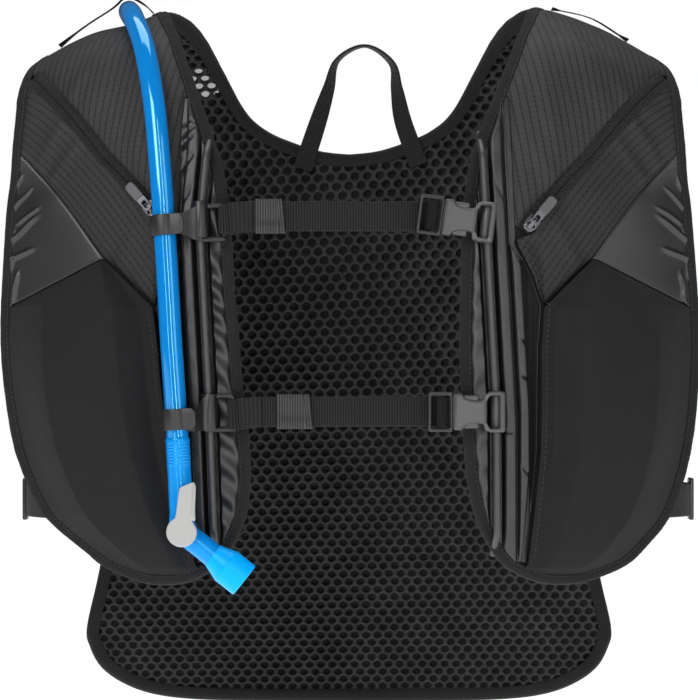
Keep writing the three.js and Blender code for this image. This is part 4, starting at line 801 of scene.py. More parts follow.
def woven(name, colour, depth, rough, thread, lines=(), grain=0.35, lift=0.25, shine=0.25, sheen=0.03):
    """Woven or knitted yarn: threads run both ways and leave an even grain.

    depth is how dark the grain's low spots are painted, as painted shade, and thread the spacing of
    the drawn threads in millimetres. A row of lines is darker yarn: (spacing, share of the spacing that
    it fills, spacing of its dashes, share that they fill, darkening, turn in degrees).
    """
    tree = start_material(name)
    cloth = add_node(tree, "ShaderNodeUVMap", uv_map="cloth").outputs[0]
    ways = add_node(tree, "ShaderNodeSeparateXYZ", {0: cloth}).outputs
    pulled = [maths(tree, "MULTIPLY", ways[turn], 2 * math.pi / thread) for turn in (0, 1)]
    weave = maths(tree, "MULTIPLY", *(maths(tree, "SINE", way) for way in pulled))
    fuzz = noise(tree, cloth, 1.1, Detail=3.0, Roughness=0.7)
    broad = noise(tree, cloth, 0.05, Detail=2.0)
    # The tone follows the bump: high yarn painted lighter, low spots darker, as painted light and shade.
    tone = maths(tree, "MULTIPLY_ADD", fuzz, grain, 0.5 - grain / 2)
    tone = maths(tree, "MULTIPLY_ADD", broad, 0.5, tone)
    tone = maths(tree, "MULTIPLY_ADD", weave, 0.08, tone)
    ramp = add_node(tree, "ShaderNodeMapRange", {"Value": tone, "From Min": 0.35, "From Max": 1.1})
    base = blended(tree, ramp.outputs[0], shade(colour, depth), shade(colour, 1))
    height = weave
    for spacing, width, dash, fill, dark, turn in lines:
        turned = {"Vector": cloth, "Angle": math.radians(turn)}
        spun = add_node(tree, "ShaderNodeVectorRotate", turned, rotation_type="Z_AXIS")
        ways = add_node(tree, "ShaderNodeSeparateXYZ", {0: spun.outputs[0]}).outputs
        yarn = stripes(tree, ways[0], spacing, width)
        broken = maths(tree, "MULTIPLY_ADD", stripes(tree, ways[1], dash, fill), 0.55, 0.45)
        mask = maths(tree, "MULTIPLY", maths(tree, "MULTIPLY", yarn, broken), dark)
        base = blended(tree, mask, base, shade(colour, 0.06))
        height = maths(tree, "MULTIPLY_ADD", mask, -2.0, height)
    height = maths(tree, "MULTIPLY_ADD", fuzz, 2.5, height)
    bump = add_node(tree, "ShaderNodeBump", {"Height": height, "Strength": lift, "Distance": 0.0003})
    end_material(tree, add_node(tree, "ShaderNodeBsdfPrincipled", {
        "Base Color": base, "Roughness": rough, "Normal": bump.outputs[0], "IOR": 1.5,
        "Specular IOR Level": shine, "Sheen Weight": sheen, "Sheen Roughness": 0.5,
    }))


def moulded(name, colour, rough, grain, ior=1.49, shine=0.5, coat=0.0, metallic=0.0, fleck=0.12,
            glint=(1, 1, 1)):
    """Moulded, extruded or cast: an even colour with a slight skin texture from the tool."""
    tree = start_material(name)
    place = add_node(tree, "ShaderNodeTexCoord").outputs["Object"]
    fine, broad = (noise(tree, place, scale, Detail=2.0) for scale in (1400.0, 60.0))
    base = blended(tree, broad, shade(colour, 1 - fleck), shade(colour, 1 + fleck))
    limits = {"Value": broad, "To Min": rough * 0.85, "To Max": rough * 1.15}
    gloss = add_node(tree, "ShaderNodeMapRange", limits)
    bump = add_node(tree, "ShaderNodeBump", {"Height": fine, "Strength": grain, "Distance": 0.0001})
    end_material(tree, add_node(tree, "ShaderNodeBsdfPrincipled", {
        "Base Color": base, "Roughness": gloss.outputs[0], "Normal": bump.outputs[0], "IOR": ior,
        "Specular IOR Level": shine, "Specular Tint": (*glint, 1), "Coat Weight": coat,
        "Coat Roughness": 0.04, "Metallic": metallic,
    }))


def build_materials():
    """All finishes of the vest, from the user's colours."""
    colours = bpy.context.scene.vest_colours
    spacer, ripstop, nylon, twill = colours.spacer, colours.ripstop, colours.nylon, colours.twill
    tape, webbing, plastic = colours.tape, colours.webbing, colours.plastic
    # Warp-knitted polyester spacer: matt yarn, a little fuzzy, with painted light on top of the ribs.
    woven("spacer knit", spacer, 0.2, 0.9, 1.3, grain=1.1, lift=0.5, shine=0.15)
    # The spacer's far face, knitted like the near one, lies in shadow behind the holes.
    woven("spacer core", shade(spacer, 1.1), 0.06, 0.95, 1.2, grain=1.2, shine=0.1, sheen=0)
    # Knitted lining: an open tricot whose dashed ribs give a soft, matt side away from the wearer.
    woven("lining knit", shade(tape, 0.9), 0.4, 0.9, 1.6, [(3.0, 0.24, 2.6, 0.5, 0.8, 0)], grain=0.5)
    # The same knit where the wing stands clear of the back: light comes through its thin far side,
    # and its pale grey colour is painted backlight.
    woven("sheer knit with painted backlight", (0.5, 0.5, 0.5), 0.6, 0.9, 1.3, grain=0.9, shine=0.1)
    tree = FINISH["sheer knit with painted backlight"].node_tree
    light = add_node(tree, "ShaderNodeBsdfTransparent", {"Color": (0.5, 0.5, 0.51, 1)}).outputs[0]
    cloth = tree.nodes["Principled BSDF"].outputs[0]
    veil = add_node(tree, "ShaderNodeMixShader", {0: 0.3, 1: light, 2: cloth})
    tree.links.new(veil.outputs[0], tree.nodes["Material Output"].inputs["Surface"])
    # Polyester ripstop: smooth filament cloth with darker locked yarns every 3.6 mm, or 3.1 mm on
    # the band.
    woven("ripstop upright", ripstop, 0.62, 0.55, 0.9, [(3.6, 0.24, 2.6, 0.5, 0.95, 9)])
    woven("ripstop slanted", shade(ripstop, 0.74), 0.62, 0.55, 0.9, [(3.1, 0.26, 3.3, 0.45, 0.95, -34)])
    # Calendered nylon: pressed flat and smooth, so only its creases shine.
    woven("calendered nylon", shade(nylon, 1), 0.8, 0.36, 0.7, grain=0.15, lift=0.1, shine=0.65, sheen=0)
    woven("down-proof nylon", shade(nylon, 1.15), 0.65, 0.34, 0.7,
          grain=0.25, lift=0.15, shine=0.6, sheen=0)
    # Elastane twill: fine diagonal ribs, matt; the ribs are 0.5 mm apart and drawn at 1.1 mm to show.
    woven("stretch twill", twill, 0.6, 0.75, 0.8, [(1.1, 0.4, 1.0, 1.0, 0.4, 40)], shine=0.2)
    # Folded knit tape: soft and matt.
    woven("knit tape", tape, 0.45, 0.85, 0.8, shine=0.2)
    # Satin piping tape: tightly woven over its cord, so it carries a long soft highlight.
    woven("rail tape", shade(tape, 1.5), 0.6, 0.4, 0.8, lift=0.15, shine=0.7)
    # Polyester webbing: ribs across the strap every 0.95 mm, drawn every 1.35 mm to show.
    ribs = [(1.35, 0.42, 1.0, 1.0, 1.0, 90)]
    woven("webbing", webbing, 0.5, 0.62, 1.0, ribs, lift=0.8)
    # Webbing painted darker: painted shade on the strap's turn in the buckle; also the shoulder
    # elastics.
    woven("dark elastic and webbing in painted shade", shade(webbing, 0.3), 0.5, 0.62, 1.0, ribs, lift=0.8)
    # Bar tack: dense zigzag of thread over the webbing, rough and broken.
    woven("bar tack", shade(webbing, 1.1), 0.25, 0.6, 1.0, [(2.1, 0.45, 1.3, 0.5, 0.9, 90)],
          grain=1.0, lift=0.8)
    # Woven elastic: the same ribs over rubber threads, lighter and a little shiny from the stretch.
    woven("keeper elastic", shade(webbing, 3.0), 0.55, 0.7, 1.0, [(1.35, 0.42, 1.0, 1.0, 0.8, 90)],
          grain=0.6, lift=0.6)
    # Nylon zip: a coarse knitted tape with a grainy sparkle, its 0.7 mm herringbone drawn at 1.2 mm.
    herringbone = [(1.2, 0.4, 1.0, 1.0, 0.7, 56), (1.2, 0.4, 1.0, 1.0, 0.5, -34)]
    woven("zip coil", shade(ripstop, 1.6), 0.2, 0.65, 1.1, herringbone, grain=1.6, lift=1.0)
    # Spun polyester thread: twisted and matt, a little lighter than the tape it sews.
    moulded("sewing thread", colours.thread, 0.6, 0.4)
    # Acetal injection mouldings: satin with a light spark erosion texture, glossy on thin frames.
    moulded("acetal black", shade(plastic, 0.2), 0.3, 0.25)
    # The socket's lighter grey is partly the plastic's own colour and partly painted sheen.
    moulded("acetal with painted sheen", shade(plastic, 1.15), 0.33, 0.6)
    moulded("clip plastic", shade(plastic, 0.27), 0.42, 0.5)
    moulded("pull plastic", shade(plastic, 1.6), 0.5, 0.2)
    moulded("acetal grey", colours.lever, 0.42, 0.1, fleck=0.03)
    # Extruded polyurethane tube: glassy, coloured through.
    moulded("polyurethane tube", colours.tube, 0.1, 0.0, ior=1.6, shine=1.0, coat=0.2, fleck=0.04,
            glint=(0.35, 0.9, 1))
    # Moulded polypropylene valve body, close to the tube's colour but less glassy.
    moulded("polypropylene shell", shade(colours.tube, 1.15), 0.24, 0.0, ior=1.5, shine=0.8,
            fleck=0.04, glint=(0.25, 0.85, 1))
    # Moulded silicone: softer gloss than the tube.
    moulded("soft silicone", shade(colours.silicone, 1.3), 0.36, 0.1, ior=1.41, shine=0.4,
            fleck=0.04, glint=(0.4, 0.9, 1))
    # Plated zinc die casting: grey metal with worn bright rims.
    moulded("plated zinc", colours.zinc, 0.3, 0.15, ior=1.5, metallic=1.0)


# Pieces


def hole_place(i, j, rows):
    """Place across and along of hole i in row j of the back's mesh."""
    s = np.interp(j, np.arange(len(rows)), rows)
    ways, pitches, slants = np.array(HOLE_STEPS).T
    x = i * np.interp(-s, ways, pitches)
    return x, s + 0.05 * x * np.interp(-s, ways, slants)


def build_back_mesh():
    """The spacer's wearer side: rows of round holes that grow closer towards the hem."""
    rows = [-9.0]
    while rows[-1] > -412:
        rows.append(rows[-1] - np.interp(-rows[-1], *np.array(ROW_STEPS).T))
    i, j = np.meshgrid(np.arange(-30, 31), np.arange(1, len(rows) - 1), indexing="ij")
    i, j = (i + 0.5 * (j % 2)).ravel(), j.ravel().astype(float)
    x, s = hole_place(i, j, rows)
    keep = inside_polygon(back_inset(3.4), x, s)
    i, j, x, s = (values[keep, None] for values in (i, j, x, s))
    turns = np.radians(HOLE_TURNS)
    wobble = 1 + np.random.default_rng(7).uniform(-0.05, 0.05, (len(i), 12))
    hx, hs = hole_place(i + 0.375 * np.cos(turns) * wobble, j + 0.5 * np.sin(turns) * wobble, rows)
    ci, cj = i + HEXAGON[:, 0], j + HEXAGON[:, 1]
    # Neighbouring hexagons share their corners.
    keys = np.round(np.stack([ci.ravel(), cj.ravel()], 1) * 100).astype(int)
    _, first, corners = np.unique(keys, axis=0, return_index=True, return_inverse=True)
    cx, cs = hole_place(ci.ravel()[first], cj.ravel()[first], rows)
    top = lifted(cx, cs, 0.15 * ripple(cx, cs, 9, 3))
    lip = lifted(hx, hs, 0.25)
    deep = lifted(mix(hx, x, 0.1), mix(hs, s, 0.1), 2.3)
    holes = np.stack([hx, hs], -1).reshape(-1, 2)
    uv = np.concatenate([np.stack([cx, cs], 1), holes, holes * 1.01])
    faces = []
    for n, at in enumerate(corners.reshape(-1, 6)):
        base = len(top) + 12 * n
        low = base + len(holes)
        for k in range(6):
            outer, outer_next = at[k], at[(k + 1) % 6]
            p, m, q = base + 2 * k, base + 2 * k + 1, base + (2 * k + 2) % 12
            faces += [[outer, m, outer_next], [outer, p, m], [outer_next, m, q]]
        for k in range(12):
            r = (k + 1) % 12
            faces.append([base + k, low + k, low + r, base + r])
    points = np.concatenate([layer.reshape(-1, 3) for layer in (top, lip, deep)])
    piece = make_piece("back_spacer_mesh", (points, faces, uv), "spacer knit", ["back_panel"])


def build_back_layers():
    """The spacer's far side behind the holes, sheer only where the wing is held against the light."""
    cell, left, top = 2.0, -150, -9
    i, j = np.meshgrid(np.arange(150), np.arange(206), indexing="ij")
    x, s = left + cell * (i + 0.5), top - cell * (j + 0.5)
    inside = inside_polygon(back_inset(2.2), x, s)
    middle_x, middle_s, half_x, half_s = WINDOW
    window = ((x - middle_x) / half_x) ** 2 + ((s - middle_s) / half_s) ** 2 <= 1
    for name, height, finish, flat in BACK_LAYERS:
        faces, index = [], {}
        for i, j in zip(*np.nonzero(inside & (window == (finish == "sheer knit with painted backlight")))):
            corners = [(i, j), (i + 1, j), (i + 1, j + 1), (i, j + 1)]
            faces.append([index.setdefault(corner, len(index)) for corner in corners])
        uv = np.array([(left + cell * i, top - cell * j) for i, j in index])
        part = lifted(uv[:, 0], uv[:, 1], height), faces, uv
        make_piece(name, part, finish)


def stitch_steps(first, last):
    """Places of each stitch of a row, from its start to its end."""
    for start in np.arange(first, last, size_of("stitch_pitch")):
        yield np.linspace(start, start + size_of("stitch_length"), 4)


def stitch_row(name, at, edge, inner, place):
    """Lockstitches: short thread beads that dip into the cloth at both ends."""
    beads = []
    for steps in stitch_steps(2, at[-1] - 2):
        x, s = mix(picked(steps, at, edge), picked(steps, at, inner), 0.8).T
        centre = place(x, s, TAPE_HIGH + np.array([-0.1, 0.18, 0.18, -0.1]))
        across = place(x + 1, s, TAPE_HIGH) - place(x, s, TAPE_HIGH)
        beads.append(sweep(centre, across, round_ring(0.24, 5)))
    points, faces, _ = merged(beads)
    make_piece(name, (points, faces, None), "sewing thread")


def build_tape(name, edge, inner, place, replaced):
    """A tape folded over an edge, with its row of stitches along the inner side."""
    run = run_of(edge)
    at = np.linspace(0, run[-1], int(run[-1] / 1.6))
    edge, inner = picked(at, run, edge), picked(at, run, inner)
    t, h = TAPE_PROFILE.T
    pucker = 0.22 * ripple(at[:, None], t[None] * 5, 7, 11)
    pucker = pucker + 0.12 * np.sin(at[:, None] * 2 * np.pi / 3.2)
    x, s = (mix(edge[:, k, None], inner[:, k, None], t[None]) for k in (0, 1))
    points = place(x, s, h[None] + pucker * np.where(h > 0, 1, 0.3)[None])
    faces = grid_faces(len(at), len(t)) + end_faces(len(at), len(t))
    lengths = np.concatenate([[0], np.cumsum(np.hypot(np.diff(t) * BINDING_WIDTH, np.diff(h)))])
    uv = np.stack(np.broadcast_arrays(lengths[None], at[:, None]), -1)
    piece = make_piece(name, (points, faces, uv), "knit tape", [replaced])
    stitch_row(name + "_stitches", at, edge, inner, place)


def build_bindings():
    """The tapes round the back's neck and hem and round both front panels."""
    def on_back(x, s, h):
        h = np.asarray(h)
        return lifted(x, s, np.where(h > 1, h + BACK_THICK - BASE_THICK, h))

    inner, count = back_inset(BINDING_WIDTH), len(NECK)
    build_tape("neck_tape", NECK, inner[:count], on_back, "neck_binding")
    build_tape("hem_tape", EDGE, inner[count:], on_back, "hem_binding")
    inner = panel_inset(FRONT_OUTLINE, BINDING_WIDTH, -1, (0, -1))
    for side, tag in SIDES:
        build_tape(f"front_tape_{tag}", FRONT_OUTLINE, inner, partial(on_front, side),
                   f"front_binding_{tag}")


def panel_grid(polygons, rows, columns):
    """A grid inside all outlines: shares u and v, then x and s on the right panel."""
    tried = np.arange(-SEAM_SETBACK - 5, float(chest_way(1.02)), 0.1)
    found = [s for s in tried if span_at(polygons, s)]
    stations = np.linspace(found[0], found[-1], rows)
    spans = [
        span_at(polygons, s) or span_at(polygons, found[0] if k < rows / 2 else found[-1])
        for k, s in enumerate(stations)
    ]
    low, high = np.array(spans).T[..., None]
    u, v = np.meshgrid(np.linspace(0, 1, columns), np.linspace(0, 1, rows))
    return u, v, mix(low, high, u), np.repeat(stations[:, None], columns, 1)


def build_cover(side, tag, name, shape, height, finish, slot, rows, columns, edge, lip):
    """A sewn cover: its rim rolls down to the layer under it, or stands loose at the lip."""
    u, v, x, s = panel_grid([FRONT_INSIDE, SHAPES[shape]], rows, columns)
    width, length = x[:, -1:] - x[:, :1], s[-1, 0] - s[0, 0]
    near_side = (1 - u if lip else np.minimum(u, 1 - u)) * width
    near = np.minimum(near_side, np.minimum(v, 1 - v) * length)
    low, sewn = COVER_LOW + 0.2, COVER_LOW - 0.5
    rolled = low + (height(side, u, v, x, s) - low) * (1 - np.exp(-(near / edge) ** 1.2))
    x, s, heights = (np.pad(values, 1, mode="edge") for values in (x, s, rolled))
    heights[[0, -1], :] = sewn
    heights[:, [0, -1]] = sewn
    if lip:
        x[:, 0] += 1.8
        heights[:, 0] = np.maximum(sewn, heights[:, 1] - 1.0)
    faces = grid_faces(*x.shape)
    if side < 0:
        faces = [face[::-1] for face in faces]
    part = on_front(side, x, s, heights), faces, np.stack([x, s], -1)
    piece = make_piece(f"{name}_{tag}", part, finish, [f"{shape}_{tag}"])
    return piece


def pocket_height(side, u, v, x, s):
    crown = COVER_HIGH + 3.6 * arch(u, 0.7) * arch((v - 0.14) / 0.86, 0.9)
    soft = 0.55 * ripple(x, s, 42, 5 + side) + 0.25 * ripple(x, s, 17, 8 + side)
    return crown + soft * arch(u, 0.5) + folds(x, s, POCKET_FOLDS)


def band_height(side, u, v, x, s):
    crown = COVER_HIGH + 1.2 * arch(u, 0.7) * arch(v, 0.9)
    corner = 2.5 * (1 - ease(0, 0.3, u)) * ease(0.62, 0.85, v)
    return crown + corner + 0.35 * ripple(x, s, 30, 15 + side) + folds(x, s, BAND_FOLDS)


def patch_height(side, u, v, x, s):
    crown = COVER_HIGH + 0.5 * arch(u, 1) * arch(v, 1)
    bent = x + 1.6 * ripple(x, s, 16, 61 + side)
    return crown + 0.15 * ripple(x, s, 22, 25 + side) + folds(bent, s, PATCH_FOLDS)


def cargo_height(side, u, v, x, s):
    mouth = 5.5 * arch(v, 0.5) * (1 - ease(0, 0.5, u))
    belly = 18 * np.minimum(1, 3.2 * arch(1 - (1 - u) ** 1.25, 1) * 0.42) * arch(v**0.85, 0.6)
    rise = np.maximum(mouth, belly * ease(-0.25, 0.35, u))
    soft = 0.5 * ripple(x, s, 50, 35 + side) + 0.12 * ripple(x, s, 14, 38)
    return COVER_LOW + 1.5 + rise + soft + folds(x, s, CARGO_FOLDS)


def pleat(place, low, high):
    """A flat-topped pleat between two places across."""
    t = np.clip((place - low) / np.maximum(0.5, high - low), 0, 1)
    return 1 - np.abs(2 * t - 1) ** 5


def gusset_height(side, u, v, x, s):
    fall = chest_fall(s)
    rail = rail_x(side, fall)
    hem_x = np.interp(s, SHAPES["hem"][:, 1], SHAPES["hem"][:, 0])
    place, hem = (np.abs(handed(side, across, s)) - rail for across in (x, hem_x))
    first = 4.6 * pleat(place, 3.6, np.minimum(11.0, hem))
    second = 4.2 * pleat(place, 11.4, np.minimum(17.4, hem - 3)) * ease(14.5, 17, hem)
    inner = np.clip((-2.4 - place) / 1.5, 0, 1)
    wave = np.sin(2 * np.pi * (s + 9 * ripple(x * 0.3, s, 46, 4) + 0.9 * place) / 15.5)
    puff = inner * (2.4 + (1.1 if side < 0 else 0.6) * wave) * ease(0.28, 0.36, fall)
    crumple = 0.22 * ripple(x, s * 0.5, 7, 44 + side)
    creases = [(across, float(chest_way(down)), *rest) for across, down, *rest in GUSSET_CREASES[side]]
    raised = COVER_LOW + 0.3 + (first + second) * arch(v, 0.22) + puff + crumple
    raised = raised + folds(x, s, creases)
    # Beyond the second pleat the nylon dips under the lining, whose darker matt knit shows there as
    # painted shade for the shadow under the pocket's hem.
    return mix(raised, BASE_THICK - 1.2, np.clip((place - 17.2) / 0.8, 0, 1) * ease(18, 19.5, hem))


# Covers of a front panel: name, what it replaces and is shaped like, heights, finish, slot, rows,
# columns, width of the rolled rim, loose lip
COVERS = [
    ("zip_pocket_cover", "zip_pocket", pocket_height, "ripstop upright", "ripstop",
     110, 80, 1.6, False),
    ("mid_band_cover", "mid_band", band_height, "ripstop slanted", "ripstop", 110, 80, 1.6, True),
    ("corner_patch_cover", "corner_patch", patch_height, "calendered nylon", "nylon",
     200, 150, 0.7, False),
    ("cargo_pocket_cover", "cargo_pocket", cargo_height, "stretch twill", "twill",
     150, 90, 1.6, True),
    ("gusset_nylon", "gusset", gusset_height, "down-proof nylon", "nylon", 330, 120, 0.8, False),
]


def build_front(side, tag):
    """One front panel's covers, and the row of stitches beside the pocket's inner hem."""
    made = {cover[0]: build_cover(side, tag, *cover) for cover in COVERS}
    surface = surface_of([made["mid_band_cover"], made["cargo_pocket_cover"]])
    run, row = run_of(SHAPES["hem"]), beside(SHAPES["hem"], -2.4)
    beads = []
    for steps in stitch_steps(45, run[-1] - 4):
        x, s = picked(steps, run, row).T
        centre = laid_on(surface, on_front(side, x, s, 30), on_front(side, x, s, 0), 0.12)
        if all(point is not None for point in centre):
            across = on_front(side, x + 1, s, 5) - on_front(side, x, s, 5)
            beads.append(sweep(centre, across, round_ring(0.22, 5)))
    make_piece(f"hem_stitches_{tag}", merged(beads), "sewing thread")


def build_lining(side, tag):
    """A front panel's inner layer, a slab of spacer that the covers are sewn to."""
    _, _, x, s = panel_grid([FRONT_INSIDE], 150, 60)
    part = slab(x, s, on_front(side, x, s, BASE_THICK - 0.05), on_front(side, x, s, 0.05))
    piece = make_piece(f"front_lining_{tag}", part, "lining knit", [f"front_base_{tag}"])


def build_zip(side, tag):
    """The zip: two knitted tapes with the coil on the far side, so only a groove shows."""
    line = SHAPES["zip"]
    line = line[line[:, 0] < HALF_WIDTH * 0.9]
    run = run_of(line)
    at = np.linspace(0, run[-1], int(run[-1] / 0.65))
    profile = [(-place, high) for place, high in ZIP_HALF[::-1]] + [(0, -0.3)] + ZIP_HALF
    offsets, heights = np.array(profile).T
    ribs = np.where(np.arange(len(offsets)) % 2, 0.16, -0.16)
    ribs[(np.abs(offsets) < 0.4) | (np.abs(offsets) > 3.2)] = 0
    tooth = np.where(np.arange(len(at)) // 2 % 2, 1, -1)[:, None] * ribs[None]
    places = np.stack([beside(picked(at, run, line), offset) for offset in offsets], 1)
    points = on_front(side, places[..., 0], places[..., 1], COVER_HIGH - 0.3 + heights[None] + tooth)
    uv = np.stack(np.broadcast_arrays(offsets[None], at[:, None]), -1)
    part = points, grid_faces(len(at), len(offsets)), uv
    piece = make_piece(f"zip_coil_{tag}", part, "zip coil", [f"zip_tape_{tag}"])


def build_slider(tag, origin, axes):
    """The zip's slider with its bridge, and the pull that hangs on it."""
    aside, ahead, outward = (np.array(axis, float) for axis in axes)
    axes = np.array([aside, -outward, ahead])
    body = rounded([(-2.2, -4.6), (2.2, -4.6), (3.5, -1.0), (3.2, 4.3), (-3.2, 4.3), (-3.5, -1.0)], 1.4)
    arc = [(-1.6, -3.6), (-2.9, -3.0), (-4.0, -1.2), (-4.6, 0.6), (-4.0, 2.2), (-1.8, 3.0)]
    bridge = sweep([(0, y, z) for y, z in arc], np.tile([1.0, 0, 0], (6, 1)),
                   rounded(rectangle(-1.1, 1.1, -0.5, 0.5), 0.4, 3))
    parts = [
        plate([body * 0.98], 0.9, 0.3, 3, depth=-0.3), plate([body], 1.1, 0.4, 3, depth=-1.7), bridge,
        bar((-2.4, -4.05, 0), (2.4, -4.05, 0), 0.6),
        *(plate([rounded(rectangle(x - 0.5, x + 0.5, -1.4, 1.4), 0.4)], 3.0, 0.3, 2, depth=-3.0)
          for x in (-2.2, 2.2)),
    ]
    make_piece(f"slider_{tag}", placed(parts, origin, axes), "plated zinc",
               [f"zip_slider_{tag}"], angle=40)
    eye = rounded([(-1.9, -0.9), (1.9, -0.9), (2.5, 5.0), (2.3, 9.0), (-2.3, 9.0), (-2.5, 5.0)], 0.8)
    link = plate([eye, rounded(rectangle(-1.1, 1.1, 0.7, 4.6), 0.8)], 1.2, 0.4, 3, depth=-4.6)
    make_piece(f"pull_link_{tag}", placed([link], origin, axes), "plated zinc",
               body=f"zip_pull_{tag}", angle=40)
    tab = [(-2.6, 7.0), (2.6, 7.0), (2.6, 15.4), (1.7, 17.0), (-1.7, 17.0), (-2.6, 15.4)]
    tab = plate([rounded(tab, 0.7)], 2.0, 0.6, 3, depth=-4.6)
    make_piece(f"pull_tab_{tag}", placed([tab], origin, axes), "pull plastic",
               [f"zip_pull_{tag}"], body=f"zip_pull_{tag}", angle=40)


def build_rail(side, tag):
    """The corded piping: a round bead on its web."""
    falls = np.linspace(0.22, 0.95, 180)
    tucked = 10 * (1 - ease(0.222, 0.275, falls)) + 10 * ease(0.9, 0.95, falls)
    across = np.tile([1.0, 0, 0], (len(falls), 1))
    bead = sweep(rail_place(side, falls, RAIL_LIFT - tucked), across, round_ring(RAIL_RADIUS, 14))
    top = rail_place(side, falls, RAIL_LIFT - 1.2 - tucked)
    foot = rail_place(side, falls, np.minimum(COVER_LOW, RAIL_LIFT - 2 - tucked))
    corners = [top - 0.6 * across, top + 0.6 * across, foot + 0.8 * across, foot - 0.8 * across]
    web = np.stack(corners, 1).reshape(-1, 3)
    web = web, grid_faces(len(falls), 4, closed=True), np.zeros((len(web), 2))
    make_piece(f"rail_cord_{tag}", merged([bead, web]), "rail tape", [f"rail_{tag}"])


def tube_line():
    """The tube's middle line, from the valve to its end in the sleeve."""
    route = np.array(TUBE_ROUTE)
    return catmull(lifted(HALF_WIDTH * route[:, 0], route[:, 1], route[:, 2]), TUBE_POINTS)


def build_tube():
    """The drinking tube."""
    across = np.tile(TUBE_ACROSS, (TUBE_POINTS, 1))
    part = sweep(tube_line(), across, round_ring(size_of("tube_radius"), 44))
    make_piece("tube", part, "polyurethane tube", ["drinking_tube"])


def valve_place():
    """The middle of the valve's hub, and the way from there up to the tube."""
    line = tube_line()
    up = unit(line[2] - line[0])
    return line[0] - up * VALVE_DROP, up


def build_valve():
    """The bite valve without its lever: ribbed socket, neck, hub, outlet and bite piece."""
    line, (hub, up) = tube_line(), valve_place()
    outlet = np.array([math.cos(OUTLET_FALL), 0, -math.sin(OUTLET_FALL)])
    rings = [(-0.5, 5.85), (3, 5.85), (6, 5.85)]
    for at in 6.8 + 1.5 * np.arange(7):
        rings += [(at, 5.86), (at + 0.45, 6.02), (at + 0.9, 6.02), (at + 1.2, 5.86)]
    rings += [(18, 6.0), (19.6, 6.0), (20.4, 5.8), (20.7, 5.5)]
    at, radii = np.array(rings).T
    middle = picked(at, run_of(line), line)
    middle[0] -= up * 0.5
    points, faces, uv = sweep(middle, np.tile(TUBE_ACROSS, (len(at), 1)), round_ring(1, 40))
    middle = np.repeat(middle, 40, 0)
    socket = middle + (points - middle) * np.repeat(radii, 40)[:, None]
    neck = [(0, 0), (6.9, 0), (6.2, 7), (5.9, 9), (5.85, 24.4), (5.85, VALVE_DROP), (0, VALVE_DROP)]
    barrel = [(0, -7.5), (6.9, -7.5), (7.4, -7.0), (7.4, 7.0), (6.9, 7.5), (0, 7.5)]
    parts = [
        (socket, faces, uv), lathe(neck, 40, hub, up), lathe(barrel, 48, hub, (0, 1, 0)),
        lathe([(0, 0), (6.1, 0), (6.1, 19.3), (0, 19.3)], 40, hub, outlet),
        lathe([(0, -9.2), (1.9, -9.2), (1.9, -7), (0, -7)], 20, hub, (0, 1, 0)),
    ]
    make_piece("valve_shell", merged(parts), "polypropylene shell", ["valve_body"], angle=35)
    bite = [
        (3.2, 19.35), (6.15, 19.35), (6.5, 20.3), (8.8, 27.2), (9.1, 27.6), (9.1, 38.8),
        (8.9, 39.3), (8.4, 39.5), (3.6, 39.5), (3.2, 39.1), (3.2, 19.35),
    ]
    make_piece("bite_piece", lathe(bite, 44, hub, outlet), "soft silicone",
               ["bite_valve"], angle=14)


def build_lever():
    """The valve's shut-off lever: a disc and an upright arm with a raised ridge on its right edge."""
    turn = np.array(Matrix.Rotation(LEVER_LEAN, 3, "Y")).T
    disc = [(7.6 * math.cos(a), 7.6 * math.sin(a)) for a in np.radians(np.linspace(124, 378, 40))]
    arm = [(6.2, 5.6), (5.0, 12), (3.9, 23.2), (2.6, 25.6), (-1.0, 23.4), (-4.2, 21.8), (-4.0, 9.0)]
    outline = np.array([*disc, *rounded(arm, [2, 6, 3, 1.6, 6, 3, 0])])
    ridge = [(4.6, -9.8, 8.4), (4.1, -10.2, 13), (3.4, -10.3, 20), (2.9, -9.8, 24.0)]
    parts = [
        plate([outline], 2.2, 0.7, 4, depth=-8.95),
        sweep(ridge, np.tile([1.0, 0, 0], (4, 1)), round_ring(0.75, 12)),
    ]
    make_piece("lever", placed(parts, valve_place()[0], turn), "acetal grey",
               ["valve_lever"], body="valve_lever", angle=40)


def leaning_axes(side, fall, tilt=0.0):
    """Axes of what slides on a rail: z follows its lean, then the whole tilts in the front view."""
    above, below = rail_place(side, fall - 0.03), rail_place(side, fall + 0.03)
    lean = -math.atan2(above[1] - below[1], above[2] - below[2])
    return np.array(Matrix.Rotation(lean, 3, "X") @ Matrix.Rotation(tilt, 3, "Y")).T


# Upper half of the buckle's socket: x, z and radius of each corner
SOCKET_HALF = [
    (-21.6, 8.9, 0.8), (-17.2, 9.1, 1.0), (-16.2, 7.2, 1.4), (-13.5, 6.0, 3), (-9.5, 5.6, 4),
    (-6.6, 6.1, 3), (-5.2, 8.6, 2.5), (-3.8, 10.25, 1.5), (4.3, 10.25, 1.8),
]


